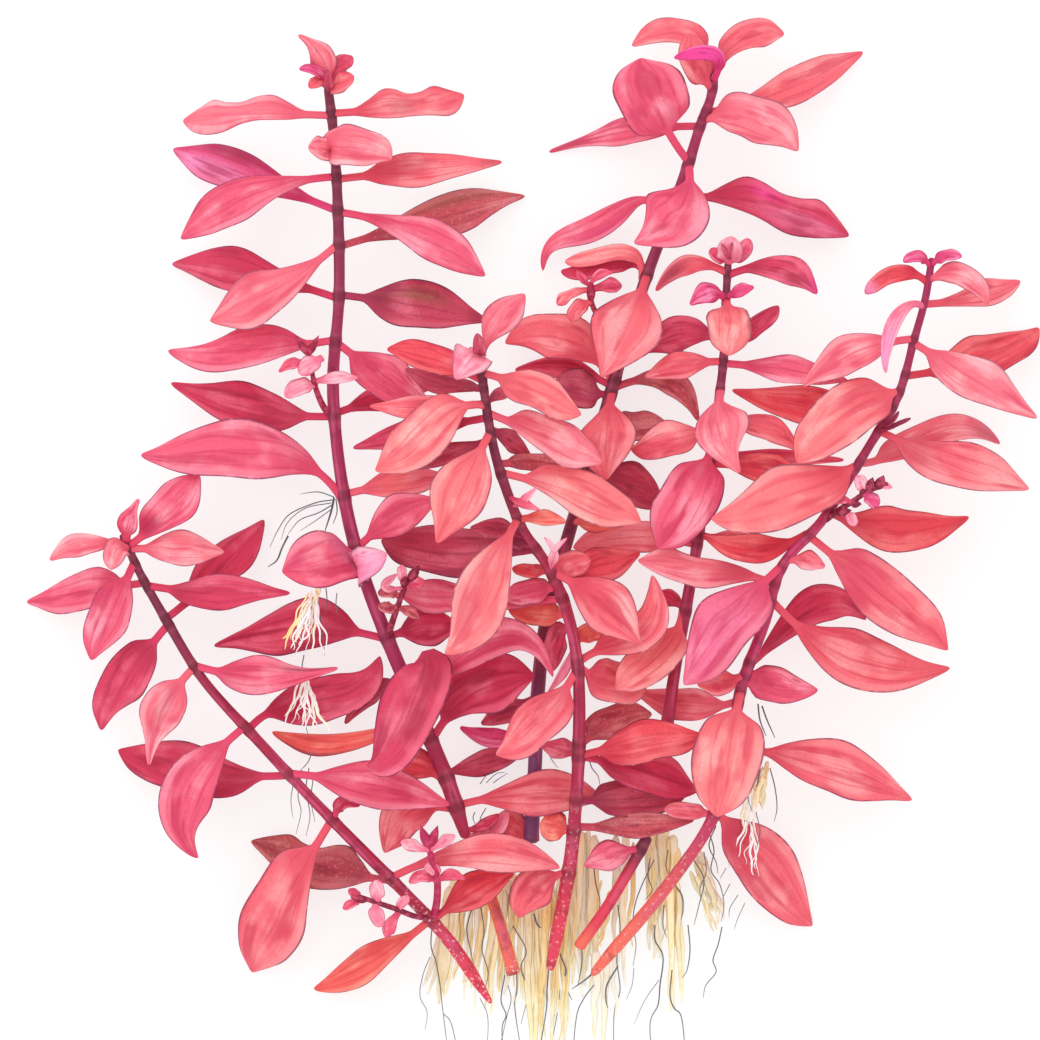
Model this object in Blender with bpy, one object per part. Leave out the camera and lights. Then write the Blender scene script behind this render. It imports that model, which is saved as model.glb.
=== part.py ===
"""A bunch of super red ludwigia palustris, as picked and laid down on a flat surface.

The bunch lies on the XY plane: +Y runs from the roots towards the shoot tips and +Z away from
the surface. Six main stems and two short ones fan out from a mass of roots. Each stem, each of
the largest leaves, each side shoot and each tuft of roots is one solid. The smaller leaves are
grown together with the stem that carries them.
"""

import math
from collections import namedtuple

import bmesh
import bpy
import numpy as np

# Driving dimensions, in metres
SHEET_STEP = 0.00018  # one step of the sheet grid that places are given on
EYE_HEIGHT = 1.56  # height from which the bunch looks as it does on the sheet
STEM_FLATNESS = 0.92  # height of a stem's section over its width
LEAF_THICKNESS = 0.0006
PETIOLE_WIDTH = 0.0011
GAP = 0.0003  # between a leaf's foot and its stem
MM = 0.001

# Places on the sheet grid, whose x runs right and whose y runs down
SHEET_MIDDLE = (520, 520)
CROWN = (565, 930)  # the middle of the roots, which is the origin

# Shape rules of a leaf
PETIOLE_SHARE = 0.14  # of the midrib's length
BASE_TAPER = 1.1  # powers of the blade's outline, which is u^a (1-u)^b
TIP_TAPER = 1.0
BLADE_TILT = math.radians(28)  # each blade turns its face towards the shoot tips
BLADE_CUP = 0.14  # how far the edges rise, over the half width
GROWN_DEPTH = 0.3  # where a leaf that is grown on its stem starts, over the stem's radius

# Shape rules of the tufts and the root mounds
TUFT_END = 0.5  # half height at both ends, over that between them
SHOULDER = 0.7  # half width and height of a mound's shoulder, over those of its foot and ridge

LEAF_AND_ROOT_ROUGHNESS = 0.55

# Fineness of the solids
AXIS_POINTS = 200  # places on a stem's axis that a leaf can start at
STEM_SIDES = 6
BIG_LEAF_RINGS = 6
SMALL_LEAF_RINGS = 4
TINY_LEAF_RINGS = 3
SMALL_LEAF = 230  # a leaf shorter than this, in sheet steps, has fewer rings
TINY_LEAF = 75
TUFT_SIDES = 6
MOUND_RINGS = 5

TONES = {
    "coral": (0.86, 0.16, 0.16),
    "salmon": (0.90, 0.26, 0.24),
    "peach": (0.90, 0.28, 0.20),
    "rose": (0.80, 0.12, 0.22),
    "crimson": (0.60, 0.04, 0.10),
    "magenta": (0.76, 0.05, 0.34),
    "orange": (0.90, 0.20, 0.08),
    "red": (0.80, 0.06, 0.06),
    "rust": (0.48, 0.10, 0.08),
    "maroon": (0.36, 0.03, 0.07),
    "pale": (0.92, 0.38, 0.42),
    "stem": (0.33, 0.01, 0.06),
    "root": (0.80, 0.62, 0.32),
}

# A leaf's route starts on its stem and then has a height in millimetres at each further point.
# Its width is the width seen from above, in sheet steps.
Leaf = namedtuple("Leaf", "label route width tone")

# A stem's route runs from its tip to its cut foot, with the height of its axis in millimetres.
# Its widths are those at the tip and at the foot. Leaves listed in apart are solids of their own.
Stem = namedtuple("Stem", "name route widths leaves apart")

STEMS = [
    Stem(
        "left_tall",
        [(328, 86, 17), (334, 140, 17), (338, 212, 17), (339, 297, 17), (333, 390, 16),
         (343, 490, 15), (362, 570, 14.5), (388, 640, 14), (418, 710, 13.3), (447, 780, 12.6),
         (466, 838, 12)],
        (9, 16),
        [
            Leaf("1", [(327, 76), (322, 52, 19), (299, 36, 20)], 32, "salmon"),
            Leaf("2", [(327, 78), (314, 70, 21), (299, 69, 22)], 11, "magenta"),
            Leaf("2b", [(329, 76), (340, 66, 18), (353, 57, 17)], 18, "crimson"),
            Leaf("2c", [(328, 86), (318, 82, 20), (309, 88, 21)], 13, "coral"),
            Leaf("2d", [(330, 86), (343, 82, 21), (354, 76, 22)], 20, "coral"),
            Leaf("3", [(331, 115), (245, 115, 18), (183, 121, 12)], 39, "salmon"),
            Leaf("4", [(332, 113), (400, 107, 18), (464, 95, 13)], 34, "coral"),
            Leaf("5", [(335, 152), (322, 149, 21), (308, 147, 22)], 24, "salmon"),
            Leaf("5b", [(335, 156), (362, 149, 22), (391, 158, 23)], 42, "salmon"),
            Leaf("6", [(337, 178), (420, 174, 16), (502, 163, 12)], 32, "crimson"),
            Leaf("7", [(338, 209), (245, 175, 8), (173, 149, 0.5)], 44, "magenta"),
            Leaf("8", [(337, 176), (265, 190, 18), (181, 239, 14)], 44, "rose"),
            Leaf("9", [(338, 212), (415, 233, 18), (485, 276, 16)], 42, "rose"),
            Leaf("10", [(340, 246), (378, 235, 12), (460, 213, 6), (525, 196, 1)], 44, "rust"),
            Leaf("11", [(340, 247), (278, 288, 19), (210, 321, 17)], 52, "salmon"),
            Leaf("12", [(339, 298), (245, 273, 9), (172, 264, 0.5)], 44, "crimson"),
            Leaf("13", [(339, 295), (410, 305, 15), (488, 321, 12)], 51, "maroon"),
            Leaf("14", [(336, 342), (250, 350, 16.5), (168, 351, 12)], 46, "rose"),
            Leaf("15", [(336, 343), (380, 374, 16), (430, 404, 15)], 44, "rose"),
            Leaf("16", [(334, 415), (260, 411, 11), (171, 383, 6)], 46, "crimson"),
            Leaf("17", [(334, 412), (370, 402, 12), (430, 388, 8)], 26, "crimson"),
            Leaf("18", [(344, 497), (300, 462, 17), (235, 451, 17), (141, 455, 11)], 60, "rose"),
            Leaf("19", [(344, 495), (405, 482, 14), (450, 476, 12)], 30, "orange"),
            Leaf("20", [(356, 548), (400, 515, 17), (440, 500, 18)], 40, "rose"),
            Leaf("21", [(357, 552), (325, 560, 22), (282, 572, 24)], 56, "rose"),
            Leaf("21b", [(345, 562), (372, 560, 20), (388, 552, 21)], 36, "pale"),
            Leaf("22", [(386, 637), (300, 628, 10.5), (214, 646, 7)], 54, "crimson"),
            Leaf("23", [(388, 637), (425, 628, 13), (460, 625, 12)], 42, "crimson"),
            Leaf("24", [(404, 683), (376, 690, 8), (345, 724, 5)], 22, "maroon"),
            Leaf("25", [(404, 682), (424, 664, 21), (410, 710, 24), (367, 765, 22)],
                 60, "crimson"),
            Leaf("26", [(430, 738), (480, 690, 16), (535, 676, 16)], 58, "crimson"),
            Leaf("27", [(408, 692), (450, 665, 18), (510, 636, 21), (553, 677, 19.5)], 38, "rose"),
            Leaf("28", [(458, 806), (530, 794, 10.5), (604, 800, 9.8)], 46, "coral"),
            Leaf("29", [(422, 716), (345, 741, 11), (272, 732, 8)], 30, "orange"),
            Leaf("30", [(446, 777), (425, 768, 13), (385, 764, 12)], 34, "red"),
            Leaf("31", [(458, 808), (405, 815, 10), (385, 853, 8)], 44, "coral"),
        ],
        "3 8 9 11 13 14 16 18 21 25 26".split(),
    ),
    Stem(
        "low_left",
        [(122, 534, 14), (141, 575, 14.3), (168, 623, 14.8), (205, 682, 15), (262, 745, 14.6),
         (310, 797, 14), (360, 848, 13), (405, 893, 12), (450, 942, 10.3), (491, 1003, 8)],
        (8, 13),
        [
            Leaf("1", [(125, 542), (129, 520, 17), (139, 499, 18)], 21, "rose"),
            Leaf("2", [(130, 546), (168, 512, 16.5), (199, 474, 15.5)], 42, "rose"),
            Leaf("3", [(126, 546), (80, 545, 16), (50, 560, 15)], 24, "salmon"),
            Leaf("4", [(130, 548), (117, 550, 18), (111, 570, 19)], 24, "salmon"),
            Leaf("5", [(130, 550), (185, 549, 16), (224, 552, 14)], 36, "salmon"),
            Leaf("6", [(144, 583), (85, 592, 8), (27, 602, 0.5)], 42, "rose"),
            Leaf("7", [(137, 563), (112, 612, 17), (91, 660, 16)], 42, "rose"),
            Leaf("8", [(166, 619), (200, 590, 11), (235, 553, 6), (264, 520, 2)], 42, "crimson"),
            Leaf("9", [(148, 587), (230, 594, 17), (290, 593, 16)], 36, "crimson"),
            Leaf("10", [(169, 625), (128, 678, 12), (101, 730, 6)], 46, "crimson"),
            Leaf("11", [(196, 667), (163, 710, 16), (149, 765, 15)], 45, "salmon"),
            Leaf("12", [(196, 667), (270, 677, 18.5), (338, 668, 19)], 38, "rose"),
            Leaf("13", [(245, 726), (205, 765, 17), (183, 805, 17), (198, 858, 14)], 54, "rose"),
            Leaf("15", [(288, 774), (205, 772, 8), (118, 750, 3)], 50, "crimson"),
            Leaf("16", [(290, 775), (378, 787, 17), (450, 805, 17)], 46, "rose"),
            Leaf("17", [(332, 820), (292, 888, 12), (252, 972, 1)], 66, "coral"),
            Leaf("18", [(333, 819), (346, 802, 16), (360, 806, 17)], 14, "crimson"),
            Leaf("19", [(392, 877), (325, 868, 6), (251, 841, 3)], 50, "rust"),
            Leaf("20", [(392, 878), (485, 853, 16), (560, 868, 16)], 38, "coral"),
            Leaf("21", [(430, 920), (375, 960, 7), (314, 989, 1.5)], 34, "orange"),
            Leaf("22", [(434, 918), (475, 891, 12.5), (514, 873, 11.5)], 36, "red"),
            Leaf("23", [(250, 728), (290, 706, 11), (335, 697, 10), (380, 656, 11)],
                 46, "crimson"),
        ],
        "7 10 13 16 17".split(),
    ),
    Stem(
        "back",
        [(714, 50, 12), (712, 92, 12), (699, 130, 12), (688, 165, 12), (670, 215, 11),
         (646, 278, 10), (625, 345, 9), (600, 430, 8), (570, 530, 7), (548, 610, 6.5),
         (538, 690, 6.2), (535, 765, 6), (531, 843, 6)],
        (9, 15),
        [
            Leaf("1", [(713, 66), (690, 40, 10), (632, 46, 6)], 34, "coral"),
            Leaf("2", [(718, 72), (742, 40, 11), (784, 34, 7)], 32, "coral"),
            Leaf("3", [(712, 88), (698, 66, 15), (690, 33, 16)], 32, "coral"),
            Leaf("3b", [(716, 80), (715, 56, 18), (674, 58, 20)], 16, "magenta"),
            Leaf("4", [(688, 160), (672, 138, 15), (655, 105, 16), (641, 58, 14)], 72, "rose"),
            Leaf("5", [(699, 127), (640, 130, 6), (549, 152, 0.5)], 28, "rose"),
            Leaf("6", [(706, 112), (800, 84, 5), (863, 52, 0.5)], 38, "coral"),
            Leaf("7", [(703, 118), (748, 118, 15), (798, 151, 13)], 48, "salmon"),
            Leaf("8", [(688, 166), (683, 205, 16), (634, 243, 17)], 66, "rose"),
            Leaf("9", [(669, 214), (600, 215, 8), (543, 271, 3)], 30, "rose"),
            Leaf("10", [(706, 206), (775, 207, 8), (849, 236, 3)], 46, "crimson"),
            Leaf("11", [(646, 272), (620, 256, 8), (562, 265, 6.5)], 30, "coral"),
            Leaf("12", [(646, 276), (628, 325, 15.5), (601, 377, 16.5)], 70, "coral"),
            Leaf("13", [(614, 380), (560, 338, 7.5), (505, 343, 6)], 46, "coral"),
            Leaf("14", [(613, 386), (560, 368, 4), (515, 370, 3)], 24, "crimson"),
            Leaf("15", [(609, 395), (580, 390, 10), (552, 384, 10)], 38, "maroon"),
            Leaf("16", [(610, 394), (607, 430, 13), (607, 478, 14)], 56, "coral"),
            Leaf("17", [(588, 470), (630, 483, 5), (664, 507, 4)], 40, "maroon"),
            Leaf("18", [(613, 385), (675, 385, 8.5), (698, 421, 7.5)], 26, "rust"),
            Leaf("19", [(603, 420), (638, 419, 6), (666, 418, 5)], 28, "maroon"),
            Leaf("20", [(571, 522), (600, 521, 13), (634, 521, 14)], 24, "orange"),
            Leaf("22", [(537, 698), (505, 712, 7), (481, 724, 6)], 24, "maroon"),
            Leaf("23", [(536, 733), (490, 738, 8), (460, 727, 8)], 20, "magenta"),
            Leaf("24", [(535, 750), (490, 762, 6), (448, 772, 5)], 26, "maroon"),
        ],
        "4 8 10 12".split(),
    ),
    Stem(
        "front",
        [(479, 348, 30), (484, 390, 29), (492, 440, 28), (503, 480, 27), (522, 528, 25.6),
         (550, 570, 24), (568, 615, 22.6), (578, 670, 21), (579, 740, 18), (576, 800, 15),
         (569, 870, 12), (550, 970, 8)],
        (8, 14),
        [
            Leaf("1", [(481, 352), (497, 325, 32), (525, 294, 33)], 36, "salmon"),
            Leaf("2", [(482, 350), (472, 358, 33), (455, 379, 34)], 40, "pale"),
            Leaf("3", [(482, 380), (445, 364, 27), (387, 349, 24)], 30, "red"),
            Leaf("4", [(482, 374), (540, 393, 30), (581, 415, 28)], 38, "peach"),
            Leaf("5", [(483, 389), (455, 384, 22), (405, 369, 19)], 30, "maroon"),
            Leaf("5b", [(485, 402), (501, 394, 26), (515, 388, 24)], 14, "maroon"),
            Leaf("6", [(486, 405), (462, 407, 31), (425, 436, 31), (375, 470, 30)], 50, "peach"),
            Leaf("7", [(484, 404), (425, 408, 27), (370, 406, 24)], 24, "coral"),
            Leaf("7b", [(488, 417), (425, 430, 21), (353, 448, 15)], 30, "crimson"),
            Leaf("8", [(488, 414), (545, 437, 26), (602, 463, 23)], 40, "salmon"),
            Leaf("8b", [(491, 430), (512, 442, 23), (530, 455, 20)], 20, "maroon"),
            Leaf("9", [(491, 433), (464, 485, 33), (437, 543, 32)], 58, "peach"),
            Leaf("10", [(492, 440), (455, 452, 25), (405, 469, 22)], 20, "maroon"),
            Leaf("11", [(501, 474), (575, 494, 25), (641, 522, 22)], 46, "peach"),
            Leaf("11b", [(499, 465), (535, 463, 21), (580, 467, 18)], 18, "rust"),
            Leaf("12", [(518, 520), (508, 538, 30), (484, 595, 33), (445, 654, 31)], 56, "peach"),
            Leaf("12b", [(526, 536), (500, 530, 23), (470, 528, 21)], 22, "maroon"),
            Leaf("12c", [(535, 548), (440, 552, 14), (381, 540, 9)], 50, "maroon"),
            Leaf("13", [(552, 574), (598, 600, 25), (640, 645, 23)], 52, "coral"),
            Leaf("14", [(578, 672), (545, 715, 22), (496, 755, 22)], 46, "coral"),
            Leaf("14b", [(577, 645), (566, 668, 18), (548, 692, 17)], 10, "pale"),
            Leaf("15", [(579, 754), (640, 743, 19), (703, 735, 18)], 42, "red"),
            Leaf("16", [(520, 520), (543, 518, 27), (566, 522, 27)], 16, "orange"),
            Leaf("18", [(553, 576), (600, 566, 18), (640, 553, 14)], 36, "red"),
            Leaf("19", [(577, 662), (600, 650, 20), (638, 635, 20), (652, 575, 18)], 30, "coral"),
            Leaf("20", [(578, 668), (600, 680, 17), (648, 682, 12)], 38, "coral"),
            Leaf("25", [(579, 755), (558, 749, 13), (540, 745, 12)], 22, "rose"),
            Leaf("26", [(579, 757), (640, 770, 12), (697, 792, 9)], 42, "crimson"),
            Leaf("27", [(579, 745), (610, 726, 13), (652, 714, 11)], 36, "rust"),
            Leaf("28", [(576, 800), (635, 799, 7.5), (688, 792, 5)], 38, "maroon"),
            Leaf("29", [(574, 826), (635, 826, 11), (694, 820, 11)], 25, "rust"),
            Leaf("30", [(573, 832), (557, 827, 13), (540, 822, 13)], 16, "red"),
            Leaf("31", [(568, 872), (541, 884, 12.5), (519, 918, 12)], 40, "coral"),
            Leaf("33", [(516, 505), (527, 497, 30), (537, 487, 31)], 8, "pale"),
            Leaf("34", [(510, 498), (524, 504, 30), (540, 510, 30)], 10, "rose"),
            Leaf("35", [(551, 567), (554, 550, 28), (544, 537, 28.5)], 6, "pale"),
            Leaf("36", [(551, 567), (555, 550, 28), (567, 538, 28.5)], 6, "pale"),
            Leaf("17", [(560, 600), (470, 600, 14), (398, 593, 12)], 34, "rose"),
            Leaf("37", [(556, 588), (533, 592, 20), (504, 597, 19)], 25, "rose"),
            Leaf("38", [(568, 614), (540, 615, 17), (508, 609, 16)], 24, "orange"),
            Leaf("39", [(572, 628), (556, 642, 15.5), (552, 672, 15)], 24, "crimson"),
            Leaf("41", [(574, 642), (588, 634, 19), (604, 627, 18)], 20, "orange"),
            Leaf("42", [(552, 573), (569, 566, 21.5), (591, 560, 21)], 27, "coral"),
            Leaf("43", [(546, 572), (528, 571, 21), (512, 568, 20)], 14, "red"),
            Leaf("44", [(531, 546), (520, 540, 25), (509, 536, 24)], 24, "maroon"),
        ],
        "4 6 9 11 12 13 15".split(),
    ),
    Stem(
        "middle",
        [(729, 248, 16), (726, 300, 15.7), (723, 365, 15), (713, 440, 14.4), (703, 510, 13.8),
         (690, 585, 13), (675, 670, 12.3), (667, 725, 12)],
        (7, 13),
        [
            Leaf("1", [(728, 260), (718, 256, 17), (711, 248, 17)], 14, "rose"),
            Leaf("1b", [(729, 260), (741, 254, 17), (748, 238, 17)], 16, "rose"),
            Leaf("1c", [(729, 262), (730, 250, 20), (731, 236, 21)], 26, "pale"),
            Leaf("2", [(728, 272), (695, 264, 17), (656, 291, 15)], 20, "coral"),
            Leaf("3", [(728, 275), (780, 268, 17), (817, 294, 14)], 30, "crimson"),
            Leaf("4", [(726, 298), (708, 293, 19), (690, 305, 19)], 22, "magenta"),
            Leaf("4b", [(726, 297), (742, 290, 18), (754, 287, 18)], 14, "magenta"),
            Leaf("5", [(726, 300), (729, 328, 21), (729, 356, 22)], 44, "peach"),
            Leaf("6", [(724, 345), (757, 322, 13), (779, 306, 12)], 26, "crimson"),
            Leaf("7", [(724, 340), (680, 335, 11), (641, 353, 9)], 38, "crimson"),
            Leaf("8", [(723, 362), (685, 365, 14.5), (645, 377, 14)], 28, "coral"),
            Leaf("9", [(723, 363), (785, 370, 15), (848, 381, 14)], 28, "rose"),
            Leaf("10", [(720, 390), (722, 428, 20), (740, 473, 21)], 54, "salmon"),
            Leaf("11", [(715, 426), (775, 432, 14), (800, 452, 13)], 26, "coral"),
            Leaf("11b", [(714, 430), (668, 440, 13), (631, 450, 11)], 34, "coral"),
            Leaf("11c", [(711, 455), (790, 458, 8.5), (844, 460, 7.5)], 16, "rose"),
            Leaf("12", [(711, 455), (686, 505, 18), (658, 549, 18.5)], 58, "rose"),
            Leaf("13", [(699, 535), (735, 545, 14.5), (765, 560, 14)], 30, "coral"),
            Leaf("13b", [(697, 545), (625, 538, 10.5), (573, 548, 10)], 32, "pale"),
            Leaf("13c", [(710, 463), (765, 470, 14), (815, 490, 12.5)], 34, "red"),
            Leaf("15", [(690, 610), (668, 640, 14), (645, 665, 17), (616, 689, 19.5)],
                 34, "peach"),
            Leaf("16", [(686, 608), (670, 599, 11), (653, 594, 10)], 18, "crimson"),
        ],
        "5 10 12".split(),
    ),
    Stem(
        "right",
        [(932, 258, 17), (925, 300, 17.6), (914, 340, 18), (898, 396, 18.7), (868, 448, 19.5),
         (824, 518, 20), (783, 565, 19.4), (765, 622, 18.6), (742, 685, 17.4), (732, 740, 16.3),
         (714, 815, 14.2), (668, 885, 12), (592, 975, 8)],
        (7, 13),
        [
            Leaf("1", [(930, 265), (919, 257, 19), (903, 262, 20)], 12, "magenta"),
            Leaf("2", [(932, 264), (945, 256, 19), (962, 257, 20)], 12, "magenta"),
            Leaf("3", [(927, 282), (905, 273, 18), (884, 279, 17), (865, 294, 16)], 17, "red"),
            Leaf("4", [(931, 279), (962, 276, 20), (988, 305, 20)], 24, "salmon"),
            Leaf("5", [(924, 304), (975, 297, 10), (1020, 281, 2)], 27, "coral"),
            Leaf("6", [(922, 306), (897, 318, 24), (887, 345, 24.5), (886, 373, 24)], 15, "pale"),
            Leaf("7", [(914, 340), (850, 355, 19), (803, 386, 17.5)], 38, "salmon"),
            Leaf("8", [(913, 343), (971, 378, 21), (1037, 418, 19)], 46, "salmon"),
            Leaf("9", [(905, 376), (985, 357, 9), (1039, 328, 0.5)], 44, "red"),
            Leaf("10", [(900, 387), (845, 415, 22), (797, 463, 22)], 54, "peach"),
            Leaf("11", [(890, 408), (790, 404, 11), (732, 390, 10)], 38, "red"),
            Leaf("12", [(880, 430), (952, 463, 21), (1029, 489, 18)], 52, "coral"),
            Leaf("13", [(862, 462), (900, 450, 12), (950, 430, 6), (1000, 444, 2)], 30, "salmon"),
            Leaf("14", [(853, 465), (785, 498, 22.5), (711, 519, 21)], 58, "peach"),
            Leaf("14b", [(808, 536), (755, 550, 18), (703, 535, 17.5)], 30, "red"),
            Leaf("15", [(828, 512), (895, 531, 13), (969, 517, 7)], 46, "red"),
            Leaf("16", [(808, 536), (878, 592, 21), (948, 650, 19)], 56, "coral"),
            Leaf("17", [(781, 568), (730, 620, 24), (684, 685, 23.5)], 60, "rose"),
            Leaf("17b", [(788, 558), (808, 561, 21), (825, 567, 21)], 20, "salmon"),
            Leaf("18", [(773, 602), (857, 661, 15), (950, 668, 10)], 56, "coral"),
            Leaf("19", [(752, 662), (788, 627, 12), (828, 603, 10), (866, 620, 8)], 38, "crimson"),
            Leaf("20", [(746, 678), (780, 687, 17), (818, 690, 16)], 38, "rose"),
            Leaf("20b", [(745, 676), (720, 682, 19.5), (697, 684, 19.5)], 30, "coral"),
            Leaf("21", [(741, 692), (728, 755, 22), (717, 817, 23)], 67, "peach"),
            Leaf("22", [(731, 748), (832, 768, 13), (912, 800, 9)], 54, "coral"),
            Leaf("23", [(716, 812), (766, 866, 7), (812, 926, 0.5)], 60, "coral"),
            Leaf("24", [(738, 702), (680, 705, 8.4), (632, 690, 8)], 34, "salmon"),
            Leaf("25", [(884, 428), (893, 420, 22), (899, 411, 23)], 6, "maroon"),
            Leaf("25b", [(880, 432), (898, 424, 22), (911, 418, 23)], 6, "maroon"),
            Leaf("14c", [(776, 585), (745, 575, 16.5), (700, 570, 16.5), (638, 560, 17)],
                 34, "rose"),
            Leaf("26", [(714, 815), (692, 812, 12.8), (664, 809, 12)], 17, "salmon"),
        ],
        "8 10 12 14 16 17 18 21".split(),
    ),
    Stem(
        "short_left",
        [(487, 885, 7.5), (500, 925, 7.8), (514, 975, 8)],
        (11, 13),
        [],
        [],
    ),
    Stem(
        "short_right",
        [(648, 836, 10), (628, 872, 10), (605, 910, 9), (578, 948, 8)],
        (11, 12),
        [Leaf("1", [(640, 850), (612, 855, 12), (584, 866, 12)], 30, "rose")],
        [],
    ),
]

# A side shoot or an aerial root tuft is one plain solid that reaches the tips of its small
# leaves or fibres. A point is x, y, height of the middle in mm, half width in steps.
Tuft = namedtuple("Tuft", "name route half_height tone")

TUFTS = [
    Tuft("shoot_left_upper",
         [(321, 406, 18.3, 3), (311, 384, 20.3, 16), (308, 366, 20.8, 18), (308, 346, 21, 9)],
         1.0, "rose"),
    Tuft("shoot_left_lower",
         [(398, 626, 17.6, 3), (396, 606, 18.6, 17), (408, 582, 19, 14), (414, 568, 19.2, 5)],
         1.0, "crimson"),
    Tuft("shoot_back",
         [(613, 344, 11, 3), (584, 334, 12, 5), (581, 298, 12.6, 24), (592, 270, 12.8, 8)],
         0.8, "coral"),
    Tuft("shoot_right",
         [(834, 512, 21, 3), (850, 501, 22.4, 13), (872, 492, 22.8, 16), (891, 483, 23, 6)],
         1.0, "crimson"),
    Tuft("shoot_low_upper",
         [(437, 903, 13.6, 3), (437, 878, 18, 20), (428, 846, 19, 23), (428, 828, 19.2, 9)],
         1.0, "magenta"),
    Tuft("shoot_low_side",
         [(414, 912, 14.6, 3), (396, 906, 15.6, 15), (378, 902, 16, 18), (350, 899, 16.2, 8)],
         1.0, "rose"),
    Tuft("roots_of_left_stem",
         [(330, 499, 14, 3), (308, 516, 12, 11), (286, 540, 10, 10), (271, 561, 8, 3)],
         0.7, "root"),
    Tuft("aerial_roots_left",
         [(341, 562, 15, 3), (320, 587, 16, 8), (310, 640, 15.8, 20), (306, 690, 15, 20),
          (305, 740, 13, 14), (305, 785, 10, 9), (306, 832, 8.6, 5)],
         0.6, "root"),
    Tuft("aerial_roots_right",
         [(751, 706, 13.6, 3), (757, 765, 12, 13), (760, 815, 11.6, 14), (759, 852, 11.6, 5)],
         0.8, "root"),
]

# The roots at the foot are flat-bottomed mounds. A point is x, y, height in mm, half width.
Mound = namedtuple("Mound", "name route")

MOUNDS = [
    Mound("roots_far_left", [(462, 874, 3, 14), (452, 925, 5, 22), (441, 1012, 2, 10)]),
    Mound("roots_left", [(505, 862, 4, 18), (504, 940, 6, 26), (498, 1046, 2.2, 18)]),
    Mound("roots_middle", [(567, 856, 4, 22), (565, 940, 6, 31), (560, 1085, 2, 20)]),
    Mound("roots_right", [(636, 850, 4, 22), (640, 940, 6, 36), (655, 1070, 2, 22)]),
    Mound("roots_far_right", [(712, 846, 3, 20), (714, 905, 5, 26), (704, 990, 2, 12)]),
]


def clear_scene():
    """Removes every object that the scene starts with."""
    for thing in list(bpy.data.objects):
        bpy.data.objects.remove(thing, do_unlink=True)


def place(x, y, height):
    """World point of a sheet place at a height in millimetres, seen from the eye's height."""
    spread = SHEET_STEP * (1 - height * MM / EYE_HEIGHT)
    middle_x = (SHEET_MIDDLE[0] - CROWN[0]) * SHEET_STEP
    middle_y = (CROWN[1] - SHEET_MIDDLE[1]) * SHEET_STEP
    east = middle_x + (x - SHEET_MIDDLE[0]) * spread
    north = middle_y + (SHEET_MIDDLE[1] - y) * spread
    return np.array((east, north, height * MM))


def unit(vector):
    """The vector at length 1."""
    return vector / np.linalg.norm(vector)


def smooth_route(points, count):
    """Count points, evenly spaced in t, on cubics that join the points with shared slopes."""
    points = np.asarray(points, float)
    slopes = np.gradient(points, axis=0)
    route = []
    for t in np.linspace(0, len(points) - 1, count):
        i = min(int(t), len(points) - 2)
        u = t - i
        route.append(
            (1 + 2 * u) * (1 - u) ** 2 * points[i]
            + u * (1 - u) ** 2 * slopes[i]
            + u * u * (3 - 2 * u) * points[i + 1]
            + u * u * (u - 1) * slopes[i + 1]
        )
    return np.array(route)


def midrib(points, count):
    """Count points on the one parabola or cubic that passes through a leaf's route points."""
    points = np.asarray(points, float)
    steps = np.linalg.norm(np.diff(points, axis=0), axis=1)
    knots = np.concatenate([[0], np.cumsum(steps)]) / steps.sum()
    t = np.linspace(0, 1, count)
    curve = np.zeros((count, 3))
    for i, point in enumerate(points):
        weight = np.ones(count)
        for j, knot in enumerate(knots):
            if j != i:
                weight *= (t - knot) / (knots[i] - knot)
        curve += weight[:, None] * point
    return curve


def make_object(name, rings, tone, tip=None):
    """One closed object skinned over rings of points, ending in a last point or a flat cap."""
    mesh = bpy.data.meshes.new(name)
    shell = bmesh.new()
    loops = [[shell.verts.new(point) for point in ring] for ring in rings]
    sides = len(loops[0])
    for near, far in zip(loops, loops[1:]):
        for i in range(sides):
            j = (i + 1) % sides
            # The diagonals on a leaf's two faces match, so that the faces can't cross
            if i % 2:
                shell.faces.new((near[i], near[j], far[j]))
                shell.faces.new((near[i], far[j], far[i]))
            else:
                shell.faces.new((near[i], near[j], far[i]))
                shell.faces.new((near[j], far[j], far[i]))
    shell.faces.new(loops[0][::-1])
    if tip is None:
        shell.faces.new(loops[-1])
    else:
        end = shell.verts.new(tip)
        for i in range(sides):
            shell.faces.new((loops[-1][i], loops[-1][(i + 1) % sides], end))
    bmesh.ops.recalc_face_normals(shell, faces=shell.faces)
    shell.to_mesh(mesh)
    shell.free()
    mesh.materials.append(finish(tone))
    thing = bpy.data.objects.new(name, mesh)
    bpy.context.scene.collection.objects.link(thing)
    return thing


def finish(tone):
    """The material of a tone, made on its first use."""
    material = bpy.data.materials.get(tone)
    if material is None:
        material = bpy.data.materials.new(tone)
        material.use_nodes = True
        shader = material.node_tree.nodes["Principled BSDF"]
        shader.inputs["Base Color"].default_value = (*TONES[tone], 1)
        shader.inputs["Roughness"].default_value = LEAF_AND_ROOT_ROUGHNESS
        shader.inputs["Metallic"].default_value = 0
    return material


def frames(route):
    """For each point of a route, the level direction to its left and the direction above it."""
    ahead = np.gradient(route, axis=0)
    ahead /= np.linalg.norm(ahead, axis=1)[:, None]
    left = np.cross((0, 0, 1), ahead)
    left /= np.linalg.norm(left, axis=1)[:, None]
    return left, np.cross(ahead, left)


def ellipse_rings(route, half_widths, half_heights, sides):
    """Elliptical rings of points around a route."""
    left, above = frames(route)
    angles = np.arange(sides) * 2 * math.pi / sides
    rings = []
    for i, middle in enumerate(route):
        across = np.outer(np.cos(angles) * half_widths[i], left[i])
        up = np.outer(np.sin(angles) * half_heights[i], above[i])
        rings.append(middle + across + up)
    return rings


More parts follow.
